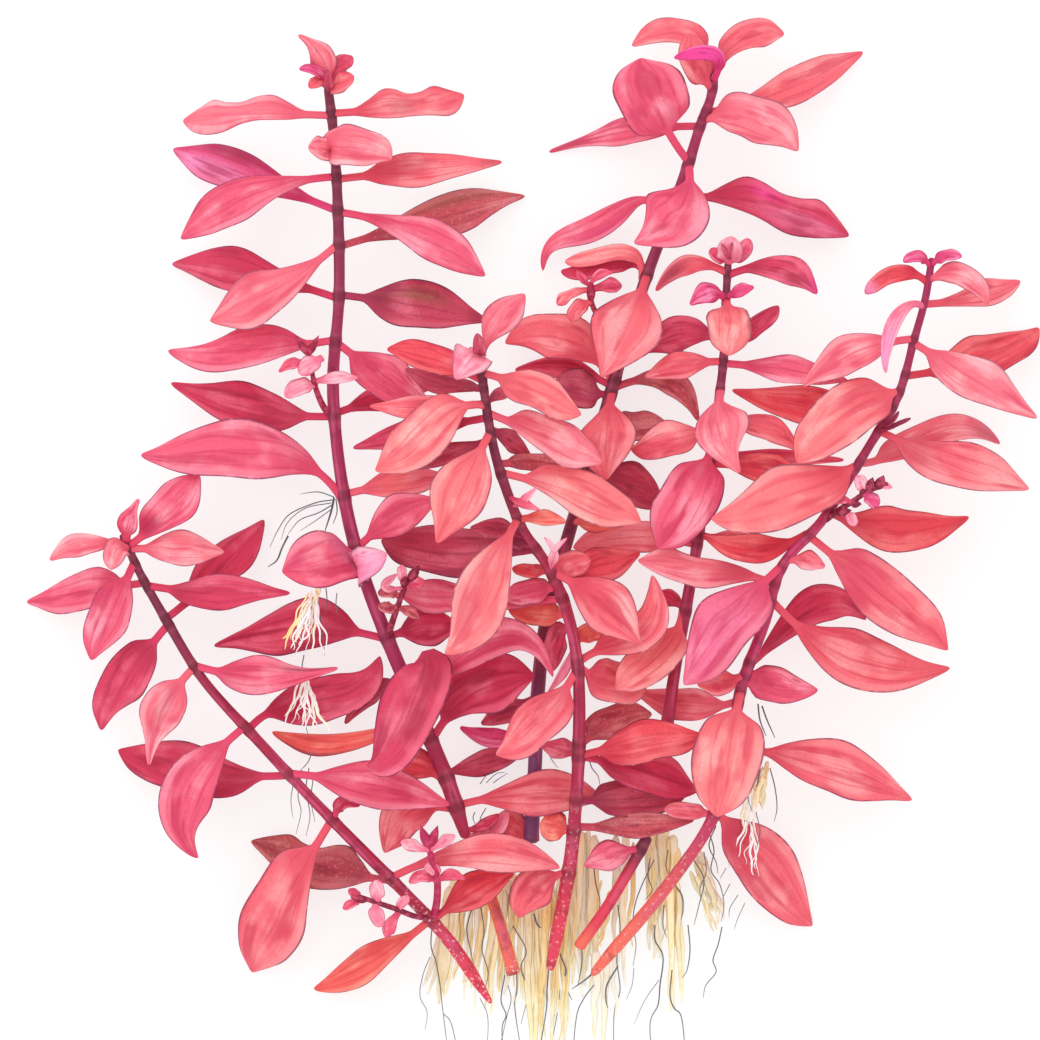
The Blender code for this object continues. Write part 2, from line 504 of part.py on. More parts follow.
def stem_axis(stem, count):
    """The stem's axis and its radius at each point."""
    axis = smooth_route([place(*point) for point in stem.route], count)
    radii = np.linspace(*stem.widths, count) * SHEET_STEP / 2
    return axis, radii


def leaf_points(leaf, stem):
    """The leaf's route in the world, which starts on the stem or just clear of it."""
    axis, radii = stem_axis(stem, AXIS_POINTS)
    further = [place(*point) for point in leaf.route[1:]]
    foot_x, foot_y = leaf.route[0]
    heights = axis[:, 2] / MM
    feet = np.array([place(foot_x, foot_y, height) for height in heights])
    nearest = np.argmin(np.linalg.norm(axis - feet, axis=1))
    along = unit(np.gradient(axis, axis=0)[nearest])
    towards = further[0] - axis[nearest]
    outward = unit(towards - along * towards.dot(along))
    if leaf.label in stem.apart:
        reach = radii[nearest] + GAP + PETIOLE_WIDTH / 4
    else:
        reach = radii[nearest] * GROWN_DEPTH
    return np.array([axis[nearest] + outward * reach] + further)


def leaf_rings(points, width, count):
    """Lens-shaped rings along a leaf: edge, upper midrib, edge, lower midrib."""
    curve = midrib(points, count + 1)
    left, above = frames(curve)
    share = np.linspace(0, 1, count + 1)
    blade = np.clip((share - PETIOLE_SHARE) / (1 - PETIOLE_SHARE), 0, 1)
    peak = BASE_TAPER / (BASE_TAPER + TIP_TAPER)
    outline = (blade / peak) ** BASE_TAPER * ((1 - blade) / (1 - peak)) ** TIP_TAPER
    tilt = -BLADE_TILT * left[:, 1]
    true_width = width * SHEET_STEP / np.cos(tilt)
    half = PETIOLE_WIDTH / 2 + (true_width / 2 - PETIOLE_WIDTH / 2) * outline
    rings = []
    for i in range(count):
        side = math.cos(tilt[i]) * left[i] + math.sin(tilt[i]) * above[i]
        face = math.cos(tilt[i]) * above[i] - math.sin(tilt[i]) * left[i]
        cup = face * half[i] * BLADE_CUP * outline[i]
        depth = face * LEAF_THICKNESS / 2
        middle = curve[i]
        rings.append([middle + side * half[i] + cup, middle - depth,
                      middle - side * half[i] + cup, middle + depth])
    return rings, curve[-1]


def make_leaf(leaf, stem):
    """A leaf as a thin closed body with a petiole and a pointed blade."""
    points = leaf_points(leaf, stem)
    length = np.linalg.norm(np.diff(points, axis=0), axis=1).sum() / SHEET_STEP
    if length < TINY_LEAF:
        count = TINY_LEAF_RINGS
    elif length < SMALL_LEAF and leaf.label not in stem.apart:
        count = SMALL_LEAF_RINGS
    else:
        count = BIG_LEAF_RINGS
    rings, tip = leaf_rings(points, leaf.width, count)
    return make_object(f"leaf_{stem.name}_{leaf.label}", rings, leaf.tone, tip)


def make_stem(stem):
    """A stem with the smaller leaves grown on it, and its larger leaves as their own solids."""
    axis, radii = stem_axis(stem, len(stem.route))
    rings = ellipse_rings(axis, radii, radii * STEM_FLATNESS, STEM_SIDES)
    body = make_object(f"stem_{stem.name}", rings, "stem")
    grown = bpy.data.collections.new(f"grown_on_{stem.name}")
    for leaf in stem.leaves:
        blade = make_leaf(leaf, stem)
        if leaf.label not in stem.apart:
            blade.hide_render = True
            blade.display_type = "WIRE"
            grown.objects.link(blade)
    if grown.objects:
        join = body.modifiers.new("grown leaves", "BOOLEAN")
        join.operation = "UNION"
        join.solver = "EXACT"
        join.use_self = True
        join.operand_type = "COLLECTION"
        join.collection = grown


def make_tuft(tuft):
    """A plain spindle that holds a side shoot or a tuft of aerial roots."""
    route = smooth_route([(*place(x, y, h), half * SHEET_STEP) for x, y, h, half in tuft.route],
                         len(tuft.route) + 1)
    half_heights = np.full(len(route), tuft.half_height * MM)
    half_heights[[0, -1]] *= TUFT_END
    rings = ellipse_rings(route[:, :3], route[:, 3], half_heights, TUFT_SIDES)
    make_object(tuft.name, rings, tuft.tone)


def make_mound(mound):
    """Roots spread on the surface: a low mound with a flat underside."""
    route = smooth_route([(*place(x, y, 0), h * MM, half * SHEET_STEP)
                          for x, y, h, half in mound.route], MOUND_RINGS)
    left, _ = frames(route[:, :3])
    up = np.array((0, 0, 1))
    rings = []
    for i, point in enumerate(route):
        across = left[i] * point[4]
        rise = up * point[3]
        foot = point[:3]
        rings.append([foot + across, foot + (across + rise) * SHOULDER, foot + rise,
                      foot + (rise - across) * SHOULDER, foot - across])
    make_object(mound.name, rings, "root")


def main():
    """Builds the whole bunch."""
    clear_scene()
    for stem in STEMS:
        make_stem(stem)
    for tuft in TUFTS:
        make_tuft(tuft)
    for mound in MOUNDS:
        make_mound(mound)


main()
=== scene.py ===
"""Looks of a bunch of super red ludwigia palustris, laid down and seen from above.

The bunch lies on the XY plane, +Y from the roots towards the shoot tips. Every leaf is a thin
closed blade with its own veins, ripple and wash of colour, every stem a ringed tube, and the
roots are many single strands. Places are given on the sheet grid, whose x runs right and whose
y runs down, with a height in millimetres above the surface. The tables near the end hold one
thing a line, in the form that the read method of its class tells.
"""

import logging
import math
import zlib
from dataclasses import dataclass, field
from enum import Enum

import bpy
import numpy as np
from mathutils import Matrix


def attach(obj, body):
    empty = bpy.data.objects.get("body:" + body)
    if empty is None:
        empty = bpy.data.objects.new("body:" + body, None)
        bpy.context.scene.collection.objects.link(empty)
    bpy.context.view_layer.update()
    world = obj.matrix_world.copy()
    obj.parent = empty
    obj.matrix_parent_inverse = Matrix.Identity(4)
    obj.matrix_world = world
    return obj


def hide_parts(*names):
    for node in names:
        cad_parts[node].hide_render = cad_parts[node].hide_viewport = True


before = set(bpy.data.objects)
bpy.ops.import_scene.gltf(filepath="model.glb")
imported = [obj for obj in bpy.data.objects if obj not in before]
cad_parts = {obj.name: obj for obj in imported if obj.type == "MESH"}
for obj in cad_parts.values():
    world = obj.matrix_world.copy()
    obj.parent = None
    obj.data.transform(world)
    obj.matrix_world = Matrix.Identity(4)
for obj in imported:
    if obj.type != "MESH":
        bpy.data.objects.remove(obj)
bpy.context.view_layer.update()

Array = np.ndarray
Colour = tuple[float, float, float, float]
Place = tuple[float, ...]
Socket = bpy.types.NodeSocket
Material = bpy.types.Material
log = logging.getLogger("bunch")

MM = 0.001
EDGE_SAMPLES = 109
BODY = "root"
SLOTS = {"SALMON": "leaf_salmon", "PEACH": "leaf_salmon", "PALE": "leaf_salmon",
         "CORAL": "leaf_coral", "ORANGE": "leaf_coral", "RED": "leaf_coral",
         "ROSE": "leaf_rose", "MAGENTA": "leaf_rose"}


def pigment(code: str) -> Colour:
    """Colour for a shader from six hexadecimal digits, by the sRGB curve.

    Args:
        code: two digits each for red, green and blue.

    Returns:
        Linear red, green and blue, and full opacity.
    """
    shares = [value / 255 for value in bytes.fromhex(code)]
    linear = [s / 12.92 if s <= 0.04045 else ((s + 0.055) / 1.055) ** 2.4 for s in shares]
    return (*linear, 1.0)


def places(text: str) -> list[Place]:
    """Sheet places from a row of numbers, with a comma between two places."""
    return [tuple(float(value) for value in place.split()) for place in text.split(",")]


def table(kind: type, text: str) -> list:
    """Things of one kind from a table, one a line. A line that starts with a space goes on."""
    return [kind.read(line) for line in text.strip().replace("\n ", " ").splitlines()]


class Sheet:
    """The grid that places are given on, as seen from the eye above it."""

    step = 0.00018
    eye_height = 1.56
    middle = (520, 520)
    crown = (565, 930)

    @classmethod
    def centre(cls) -> tuple[float, float]:
        """World x and y of the middle of the sheet, in metres from the crown of the roots."""
        (x, y), (crown_x, crown_y) = cls.middle, cls.crown
        return (x - crown_x) * cls.step, (crown_y - y) * cls.step

    @classmethod
    def place(cls, spots: Array | list[Place]) -> Array:
        """World points of sheet places. A point at height h lies h / eye height nearer the middle.

        Args:
            spots: x, y and height in millimetres, in the last axis.

        Returns:
            World points in metres, in an array of the same shape.
        """
        spots = np.asarray(spots, float)
        height = spots[..., 2] * MM
        spread = cls.step * (1 - height / cls.eye_height)
        east, north = cls.centre()
        return np.stack([east + (spots[..., 0] - cls.middle[0]) * spread,
                         north + (cls.middle[1] - spots[..., 1]) * spread, height], axis=-1)


def seeded(name: str) -> np.random.Generator:
    """Random numbers that depend only on a name."""
    return np.random.default_rng(zlib.crc32(name.encode()))


def unit(vectors: Array) -> Array:
    """The vectors at length 1."""
    return vectors / np.linalg.norm(vectors, axis=-1, keepdims=True)


def smooth_route(points: Array, count: int) -> Array:
    """Points on cubics that join the given points and share a slope at each of them.

    Between two points, with u from 0 to 1, the place is the cubic that has the two points as
    ends and the mean slopes of their neighbours as end slopes.

    Args:
        points: the points in order, one a row.
        count: how many points to return.

    Returns:
        The points, evenly spaced in the row number of the given ones.
    """
    points = np.asarray(points, float)
    slopes = np.gradient(points, axis=0)
    t = np.linspace(0, len(points) - 1, count)
    i = np.minimum(t.astype(int), len(points) - 2)
    u = (t - i)[:, None]
    return ((1 + 2 * u) * (1 - u) ** 2 * points[i] + u * (1 - u) ** 2 * slopes[i]
            + u * u * (3 - 2 * u) * points[i + 1] + u * u * (u - 1) * slopes[i + 1])


def midrib(points: Array, t: Array) -> Array:
    """Points on the one parabola or cubic through a leaf's three or four route points.

    Args:
        points: the route points in the world.
        t: the shares of the route's chord length to give points for.

    Returns:
        The points, one a row.
    """
    steps = np.linalg.norm(np.diff(points, axis=0), axis=1)
    knots = np.concatenate([[0], np.cumsum(steps)]) / steps.sum()
    curve = np.zeros((len(t), 3))
    for i, point in enumerate(points):
        others = np.delete(knots, i)
        weight = np.prod((t[:, None] - others) / (knots[i] - others), axis=1)
        curve += weight[:, None] * point
    return curve


def level_frames(route: Array) -> tuple[Array, Array]:
    """For each point of a route, the level direction to its left and the direction above it.

    Args:
        route: points along one route or several, in the last axis but one.

    Returns:
        The directions to the left and those above, of length 1.
    """
    ahead = unit(np.gradient(route, axis=-2))
    left = unit(np.cross(np.array([0.0, 0.0, 1.0]), ahead))
    return left, np.cross(ahead, left)


def placed(name: str, data: bpy.types.ID) -> bpy.types.Object:
    """A new object of the scene.

    Args:
        name: the object's name.
        data: its mesh, lamp or camera.

    Returns:
        The object.
    """
    thing = bpy.data.objects.new(name, data)
    bpy.context.scene.collection.objects.link(thing)
    return thing


@dataclass
class Skin:
    """A closed surface: points, faces and the marks that its material reads at each point."""

    points: Array
    quads: Array
    triangles: Array
    marks: dict[str, Array]

    @staticmethod
    def joined(skins: list["Skin"]) -> "Skin":
        """Several skins as one.

        Args:
            skins: skins with the same marks.

        Returns:
            The one skin.
        """
        starts = np.cumsum([0] + [len(skin.points) for skin in skins[:-1]])
        return Skin(
            np.concatenate([skin.points for skin in skins]),
            np.concatenate([skin.quads + start for skin, start in zip(skins, starts)]),
            np.concatenate([skin.triangles + start for skin, start in zip(skins, starts)]),
            {name: np.concatenate([skin.marks[name] for skin in skins])
             for name in skins[0].marks},
        )

    def make(self, name: str, material: Material, slot: str, node: str) -> None:
        """Makes the skin a piece of the bunch and reports it.

        Args:
            name: the piece's name.
            material: what the piece is dressed in.
            slot: the record's slot that the finish comes from; it is not used.
            node: the solid that the piece stands for.
        """
        mesh = bpy.data.meshes.new(name)
        mesh.vertices.add(len(self.points))
        mesh.vertices.foreach_set("co", self.points.astype(np.float32).ravel())
        sizes = np.concatenate([np.full(len(self.quads), 4), np.full(len(self.triangles), 3)])
        corners = np.concatenate([self.quads.ravel(), self.triangles.ravel()])
        mesh.loops.add(len(corners))
        mesh.loops.foreach_set("vertex_index", corners.astype(np.int32))
        mesh.polygons.add(len(sizes))
        mesh.polygons.foreach_set("loop_start", (np.cumsum(sizes) - sizes).astype(np.int32))
        mesh.update(calc_edges=True)
        mesh.validate()
        mesh.shade_smooth()
        for mark, values in self.marks.items():
            vector = values.shape[1] == 3
            kind, key = ("FLOAT_VECTOR", "vector") if vector else ("FLOAT_COLOR", "color")
            layer = mesh.attributes.new(mark, kind, "POINT")
            layer.data.foreach_set(key, values.astype(np.float32).ravel())
        mesh.materials.append(material)
        piece = placed(name, mesh)
        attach(piece, BODY)
        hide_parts(node)
        log.info("%s: %d triangles", name, 2 * len(self.quads) + len(self.triangles))


def ring_faces(count: int, length: int, sides: int) -> tuple[Array, Array]:
    """Faces of closed tubes whose rings come first, then their start points and end points.

    Args:
        count: how many tubes there are.
        length: how many rings a tube has.
        sides: how many points a ring has.

    Returns:
        The quads between the rings, and the triangles around both end points.
    """
    tube, row, side = np.ogrid[:count, :length - 1, :sides]
    after = (side + 1) % sides
    first = (tube * length + row) * sides
    quads = np.stack([first + side, first + sides + side, first + sides + after, first + after],
                     axis=-1)
    start = tube[:, 0] * length * sides
    end = start + (length - 1) * sides
    side, after = side[0], after[0]
    middle = count * length * sides + tube[:, 0] + 0 * side
    fans = np.concatenate([np.stack([start + side, start + after, middle], axis=-1),
                           np.stack([end + after, end + side, middle + count], axis=-1)])
    return quads.reshape(-1, 4), fans.reshape(-1, 3)


def tubes(routes: Array, half_widths: Array, half_heights: Array, sides: int,
          tint: Array | None = None) -> Skin:
    """Closed tubes along routes, all worked out at once.

    A point is route(n) + cos(angle) * half width(n) * left(n) + sin(angle) * half height(n) *
    above(n), and each end is closed by a fan around the route's own end point. The mark "skin"
    holds cos(angle), sin(angle) and the distance along the route in centimetres.

    Args:
        routes: tubes, points along each, x y z.
        half_widths: half the width at each point of each tube.
        half_heights: half the height at each point of each tube.
        sides: how many sides a tube has.
        tint: one colour for each tube.

    Returns:
        The tubes as one skin.
    """
    count, length = routes.shape[:2]
    left, above = level_frames(routes)
    angles = np.arange(sides) * 2 * math.pi / sides
    across = np.cos(angles)[None, None, :, None] * (half_widths[..., None] * left)[:, :, None]
    up = np.sin(angles)[None, None, :, None] * (half_heights[..., None] * above)[:, :, None]
    rings = (routes[:, :, None] + across + up).reshape(-1, 3)
    points = np.concatenate([rings, routes[:, 0], routes[:, -1]])
    quads, fans = ring_faces(count, length, sides)
    steps = np.linalg.norm(np.diff(routes, axis=1), axis=-1)
    along = np.concatenate([np.zeros((count, 1)), np.cumsum(steps, axis=1)], axis=1) * 100
    around = np.cos(angles)[None, None], np.sin(angles)[None, None]
    ring_marks = np.stack(np.broadcast_arrays(*around, along[..., None]), axis=-1).reshape(-1, 3)
    end_marks = np.zeros((2 * count, 3))
    end_marks[:, 2] = np.concatenate([along[:, 0], along[:, -1]])
    marks = {"skin": np.concatenate([ring_marks, end_marks])}
    if tint is not None:
        marks["tint"] = np.concatenate([np.repeat(tint, length * sides, axis=0), tint, tint])
    return Skin(points, quads, fans, marks)


class ShaderTree:
    """A material and short ways of adding nodes to it."""

    def __init__(self, name: str, roughness: float, specular: float) -> None:
        """Starts a material, with its roughness and gloss on the shader's own sockets.

        Args:
            name: the material's name.
            roughness: how matt it is, from 0 to 1.
            specular: how strongly it reflects, from 0 to 1.
        """
        self.material = bpy.data.materials.new(name)
        self.material.use_nodes = True
        self.nodes = self.material.node_tree.nodes
        self.links = self.material.node_tree.links
        self.shader = self.nodes["Principled BSDF"]
        self.shader.inputs["Roughness"].default_value = roughness
        self.shader.inputs["Specular IOR Level"].default_value = specular

    def plug(self, value: object, socket: Socket) -> None:
        """Links an output to a socket, or sets the socket to a plain value.

        Args:
            value: the output or the plain value.
            socket: the socket that takes it.
        """
        if isinstance(value, Socket):
            self.links.new(value, socket)
        else:
            socket.default_value = value

    def add(self, kind: str, plugs: dict, output: int | str = 0, **settings: object) -> Socket:
        """Adds a node.

        Args:
            kind: the node's type, without ShaderNode.
            plugs: what goes into its inputs, by their names or numbers.
            output: which of its outputs to return.
            settings: its other settings.

        Returns:
            The output.
        """
        node = self.nodes.new(f"ShaderNode{kind}")
        for name, setting in settings.items():
            setattr(node, name, setting)
        for key, value in plugs.items():
            self.plug(value, node.inputs[key])
        return node.outputs[output]

    def mark(self, name: str, output: str = "Vector") -> Socket:
        """A mark of the mesh."""
        return self.add("Attribute", {}, output, attribute_name=name)

    def spot(self) -> Socket:
        """The place in the bunch, in metres."""
        return self.add("TexCoord", {}, "Object")

    def parts(self, vector: Socket) -> list[Socket]:
        """The three numbers of a vector."""
        return list(self.add("SeparateXYZ", {0: vector}).node.outputs)

    def scaled(self, vector: Socket, scale: Place) -> Socket:
        """A vector multiplied by another, number by number."""
        return self.add("VectorMath", {0: vector, 1: scale}, operation="MULTIPLY")

    def number(self, operation: str, *values: object) -> Socket:
        """The result of a calculation with numbers."""
        return self.add("Math", dict(enumerate(values)), operation=operation)

    def product(self, first: object, *others: object) -> Socket:
        """Several numbers multiplied.

        Args:
            first: a number.
            others: what it is multiplied by, one after another.

        Returns:
            The product.
        """
        for value in others:
            first = self.number("MULTIPLY", first, value)
        return first

    def rise(self, value: Socket, low: float, high: float, top: float = 1.0) -> Socket:
        """A smooth step from 0 where the value is low to the top where it is high."""
        plugs = {"Value": value, "From Min": low, "From Max": high, "To Max": top}
        return self.add("MapRange", plugs, interpolation_type="SMOOTHSTEP")

    def falling(self, value: Socket, low: float, high: float) -> Socket:
        """A smooth step from 1 where the value is low to 0 where it is high."""
        return self.number("SUBTRACT", 1, self.rise(value, low, high))

    def noise(self, vector: Socket, scale: float, detail: float) -> Socket:
        """Cloudy noise around 0.5."""
        return self.add("TexNoise", {"Vector": vector, "Scale": scale, "Detail": detail}, "Fac")

    def patches(self, vector: Socket, scale: float, detail: float, low: float, high: float,
                top: float = 1.0) -> Socket:
        """Cloudy patches: 0 where the noise is low and the top where it is high."""
        return self.rise(self.noise(vector, scale, detail), low, high, top)

    def blend(self, factor: object, below: object, above: object, kind: str = "MIX") -> Socket:
        """One colour laid over another."""
        return self.add("Mix", {0: factor, 6: below, 7: above}, 2, data_type="RGBA",
                        blend_type=kind)

    def finished(self, colour: Socket, height: Socket, relief: float) -> Material:
        """Connects the colour and a fine relief to the shader.

        Args:
            colour: the surface's colour.
            height: the relief, between 0 and 1.
            relief: how high the relief stands, in metres.

        Returns:
            The material.
        """
        bump = self.add("Bump", {"Strength": 0.5, "Distance": relief, "Height": height}, "Normal")
        self.plug(colour, self.shader.inputs["Base Color"])
        self.plug(bump, self.shader.inputs["Normal"])
        return self.material


@dataclass(frozen=True)
class LeafFinish:
    """A watery wash of colour on a leaf, with darker strokes along its curved veins and a painted
    highlight along one edge.
    """

    wash: Colour
    light: Colour
    dark: Colour
    margin: Colour
    petiole: Colour
    strokes: float = 0.42
    streaks: float = 0.34
    vein_gap: float = 0.5
    clouds: float = 0.85
    pools: float = 0.7
    # strength of the painted highlight band along one edge of the blade
    band: float = 0.4
    grain: float = 0.3
    specks: float = 0.0
    roughness: float = 0.56

    @classmethod
    def of(cls, codes: str, **shares: float) -> "LeafFinish":
        """A finish from the codes of its five colours and any shares unlike the usual ones."""
        return cls(*map(pigment, codes.split()), **shares)

    def material(self, name: str) -> Material:
        """The finish as a material.

        The mark "blade" holds the share along the blade, below 0 in the petiole, the share
        across it from -1 to 1, and a number of the leaf's own. The mark "side" holds 1 on the
        underside in its first number. The mark "touch" holds a second colour and its weight;
        some touches are painted highlights.

        Args:
            name: the material's name.

        Returns:
            The material.
        """
        tree = ShaderTree(name, self.roughness, 0.3)
        blade = tree.mark("blade")
        along, across, own = tree.parts(blade)
        under = tree.parts(tree.mark("side"))[0]
        spot = tree.spot()
        edge = tree.number("ABSOLUTE", across)

        washes = tree.noise(tree.scaled(blade, (1.5, 1.1, 71)), 1, 2)
        watery = tree.number("ADD", tree.product(tree.noise(spot, 190, 2), 0.4),
                             tree.product(washes, 0.6))
        colour = tree.blend(tree.rise(watery, 0.46, 0.64, self.clouds), self.wash, self.light)
        long = tree.patches(tree.scaled(blade, (1.0, 5.5, 29)), 1, 2, 0.5, 0.66, self.streaks)
        colour = tree.blend(long, colour, self.dark)
        # Touches of other colours, some of them painted highlights.
        colour = tree.blend(tree.mark("touch", "Alpha"), colour, tree.mark("touch", "Color"))

        base = tree.falling(along, 0.0, 0.4)
        tip = tree.rise(along, 0.82, 1.0, 0.5)
        wet = tree.patches(tree.scaled(blade, (2.0, 1.5, 37)), 1, 2, 0.5, 0.66)
        pooled = tree.number("MAXIMUM", tree.number("MAXIMUM", base, tip), wet)
        colour = tree.blend(tree.product(pooled, self.pools), colour, self.dark)

        wander = tree.number("SUBTRACT", tree.noise(tree.scaled(blade, (2.1, 0.7, 53)), 1, 1), 0.5)
        bent = tree.number("ADD", across, tree.product(wander, 0.7))
        wave = tree.number("COSINE", tree.product(bent, 2 * math.pi / self.vein_gap))
        broken = tree.patches(tree.scaled(blade, (2.6, 2.0, 97)), 1, 1, 0.4, 0.52)
        vein = tree.product(tree.rise(wave, 0.66, 1.0), broken, tree.falling(along, 0.62, 0.95),
                            tree.falling(edge, 0.7, 0.9), self.strokes)
        colour = tree.blend(vein, colour, self.dark)
        rib = tree.product(tree.falling(edge, 0.0, 0.08), tree.falling(along, 0.4, 0.95),
                           self.strokes * 0.6)
        colour = tree.blend(rib, colour, self.dark)

        colour = tree.blend(tree.falling(along, -0.03, 0.1), colour, self.petiole)
        colour = tree.blend(tree.patches(spot, 2300, 3, 0.5, 0.72, self.grain), colour, self.dark)
        specks = tree.patches(spot, 1500, 1, 0.6, 0.68, self.specks)
        colour = tree.blend(specks, colour, self.light)

        # Painted highlight: a pale band along one edge of the blade, on the side that the leaf's
        # own number picks.
        chosen = tree.number("SIGN", tree.number("SUBTRACT", own, 0.5))
        near = tree.rise(tree.product(across, chosen), 0.6, 0.76)
        band = tree.product(near, tree.rise(along, 0.1, 0.35), tree.falling(along, 0.75, 1.0),
                            self.band)
        colour = tree.blend(band, colour, self.light)
        rim = tree.product(tree.rise(edge, 0.915, 0.975, 0.75),
                           tree.patches(spot, 700, 1, 0.3, 0.5))
        colour = tree.blend(rim, colour, self.margin)
        colour = tree.blend(tree.product(under, 0.3), colour, self.light)
        return tree.finished(colour, tree.noise(spot, 3200, 3), 0.00006)


def dressing(finish: object, name: str) -> Material:
    """A finish's material, made on its first use."""
    return bpy.data.materials.get(name) or finish.material(name)


class Tone(Enum):
    """The finishes that a leaf can have."""

    SALMON = LeafFinish.of("f17685 feb2b8 d64460 9e5476 e65e72")
    PEACH = LeafFinish.of("f3787c feb0ac d6465a 9c506e e65c6a")
    CORAL = LeafFinish.of("ee6672 fc9ea2 cc3650 964262 e05064")
    ROSE = LeafFinish.of("e85a76 fa9aac c42a54 923c66 dc4668")
    CRIMSON = LeafFinish.of("d43a5c ec6e88 a41a3e 78264e ce365a", strokes=0.36)
    MAGENTA = LeafFinish.of("e44c80 f890b6 b61a52 882c60 d63c70")
    ORANGE = LeafFinish.of("ee645e fc9e8c d03840 9a4050 e4585c")
    RED = LeafFinish.of("e64a56 f68082 bc223c 862848 d43e52", strokes=0.36)
    RUST = LeafFinish.of("cc5662 e68e90 962c40 6e3a4a c6465a", strokes=0.3, grain=0.5, specks=0.3)
    MAROON = LeafFinish.of("c6425c de6c82 8e2040 682442 a82e50", strokes=0.34, grain=0.45)
    PALE = LeafFinish.of("f58ea4 fec2ce e05a7c a4567a e86c88")

    @property
    def slot(self) -> str:
        """The record's slot for leaves of this tone."""
        return SLOTS.get(self.name, "leaf_crimson")

    def material(self) -> Material:
        """The tone's material, made on its first use."""
        return dressing(self.value, f"{self.name.lower()} leaf")


class Edge(Enum):
    """The edges that a blade can have: share of the half width at even steps from base to tip."""

    PLAIN = (0, 0.38, 0.74, 0.96, 1, 0.86, 0.60, 0.28, 0)
    EARLY = (0, 0.60, 0.93, 1, 0.88, 0.68, 0.44, 0.21, 0)
    LATE = (0, 0.20, 0.45, 0.72, 0.94, 1, 0.84, 0.45, 0)
    WAVY = (0, 0.52, 0.95, 0.92, 0.62, 0.62, 0.80, 0.48, 0)
    HOOK = (0, 0.60, 0.95, 1, 0.86, 0.54, 0.26, 0.11, 0)
    LATE_HOOK = (0, 0.24, 0.56, 0.86, 1, 0.88, 0.46, 0.14, 0)
    BROAD = (0, 0.72, 0.95, 1, 1, 0.97, 0.86, 0.58, 0)
    PADDLE = (0, 0.25, 0.45, 0.55, 0.62, 0.82, 1, 0.74, 0)
    FLAT = (0, 0.24, 0.34, 0.38, 0.40, 0.38, 0.32, 0.20, 0)
    SPOON = (0, 0.14, 0.17, 0.20, 0.42, 0.85, 1, 0.66, 0)
    HEART = (0.3, 0.85, 1, 0.95, 0.85, 0.70, 0.50, 0.27, 0)

    def share(self, u: Array) -> Array:
        """Share of the half width at each place along the blade, on a smooth curve.

        The curve starts at 0 one step before the base, so that the blade leaves its petiole
        gently.

        Args:
            u: share along the blade, from 0 to 1.

        Returns:
            The shares, from 0 to about 1.
        """
        shares = np.array((0, *self.value))
        fine = smooth_route(shares[:, None], EDGE_SAMPLES)[:, 0]
        steps = np.linspace(-1 / (len(shares) - 2), 1, EDGE_SAMPLES)
        return np.clip(np.interp(u, steps, fine), 0, None)


class Paint(Enum):
    """The colours of stems and of touches on leaves, one of which is a painted highlight."""

    PLUM = pigment("7a2242")
    BURGUNDY = pigment("a02252")
    WINE = pigment("a81e44")
    BERRY = pigment("ba285c")
    CHERRY = pigment("cc3464")
    FLAME = pigment("ec6a5a")
    EMBER = pigment("dc3c54")
    INK = pigment("764070")
    LILAC = pigment("f096c4")
    CORNER_PINK = pigment("ec3c96")
    DEEP = pigment("8c1034")
    BROWN = pigment("6e2c28")
    OLIVE = pigment("806034")
    # Painted highlight: a pale pink that lightens parts of some blades as if they were lit.
    BLUSH = pigment("fcb8b8")


@dataclass(frozen=True)
class Touch:
    """A soft touch of another colour on a blade, at times a painted highlight: where it is, how
    far it reaches, how strong.
    """

    colour: Colour
    along: tuple[float, float]
    across: tuple[float, float]
    strength: float = 0.8

    def weight(self, u: Array, s: Array) -> Array:
        """The touch's strength at each place: a bell over the distance from its middle.

        Args:
            u: share along the blade.
            s: share across it, from -1 to 1.

        Returns:
            The weight, from 0 to the touch's strength.
        """
        distance = ((u - self.along[0]) / self.along[1]) ** 2
        distance = distance + ((s - self.across[0]) / self.across[1]) ** 2
        return self.strength * np.exp(-distance ** 1.5)

    @classmethod
    def read(cls, text: str) -> "Touch":
        """A touch from its part of a leaf's line.

        Args:
            text: the paint, middle and reach along, middle and reach across, and the strength
                where it is unlike the usual one.

        Returns:
            The touch.
        """
        paint, *values = text.split()
        u, reach, s, width, *strength = map(float, values)
        return cls(Paint[paint].value, (u, reach), (s, width), *strength)


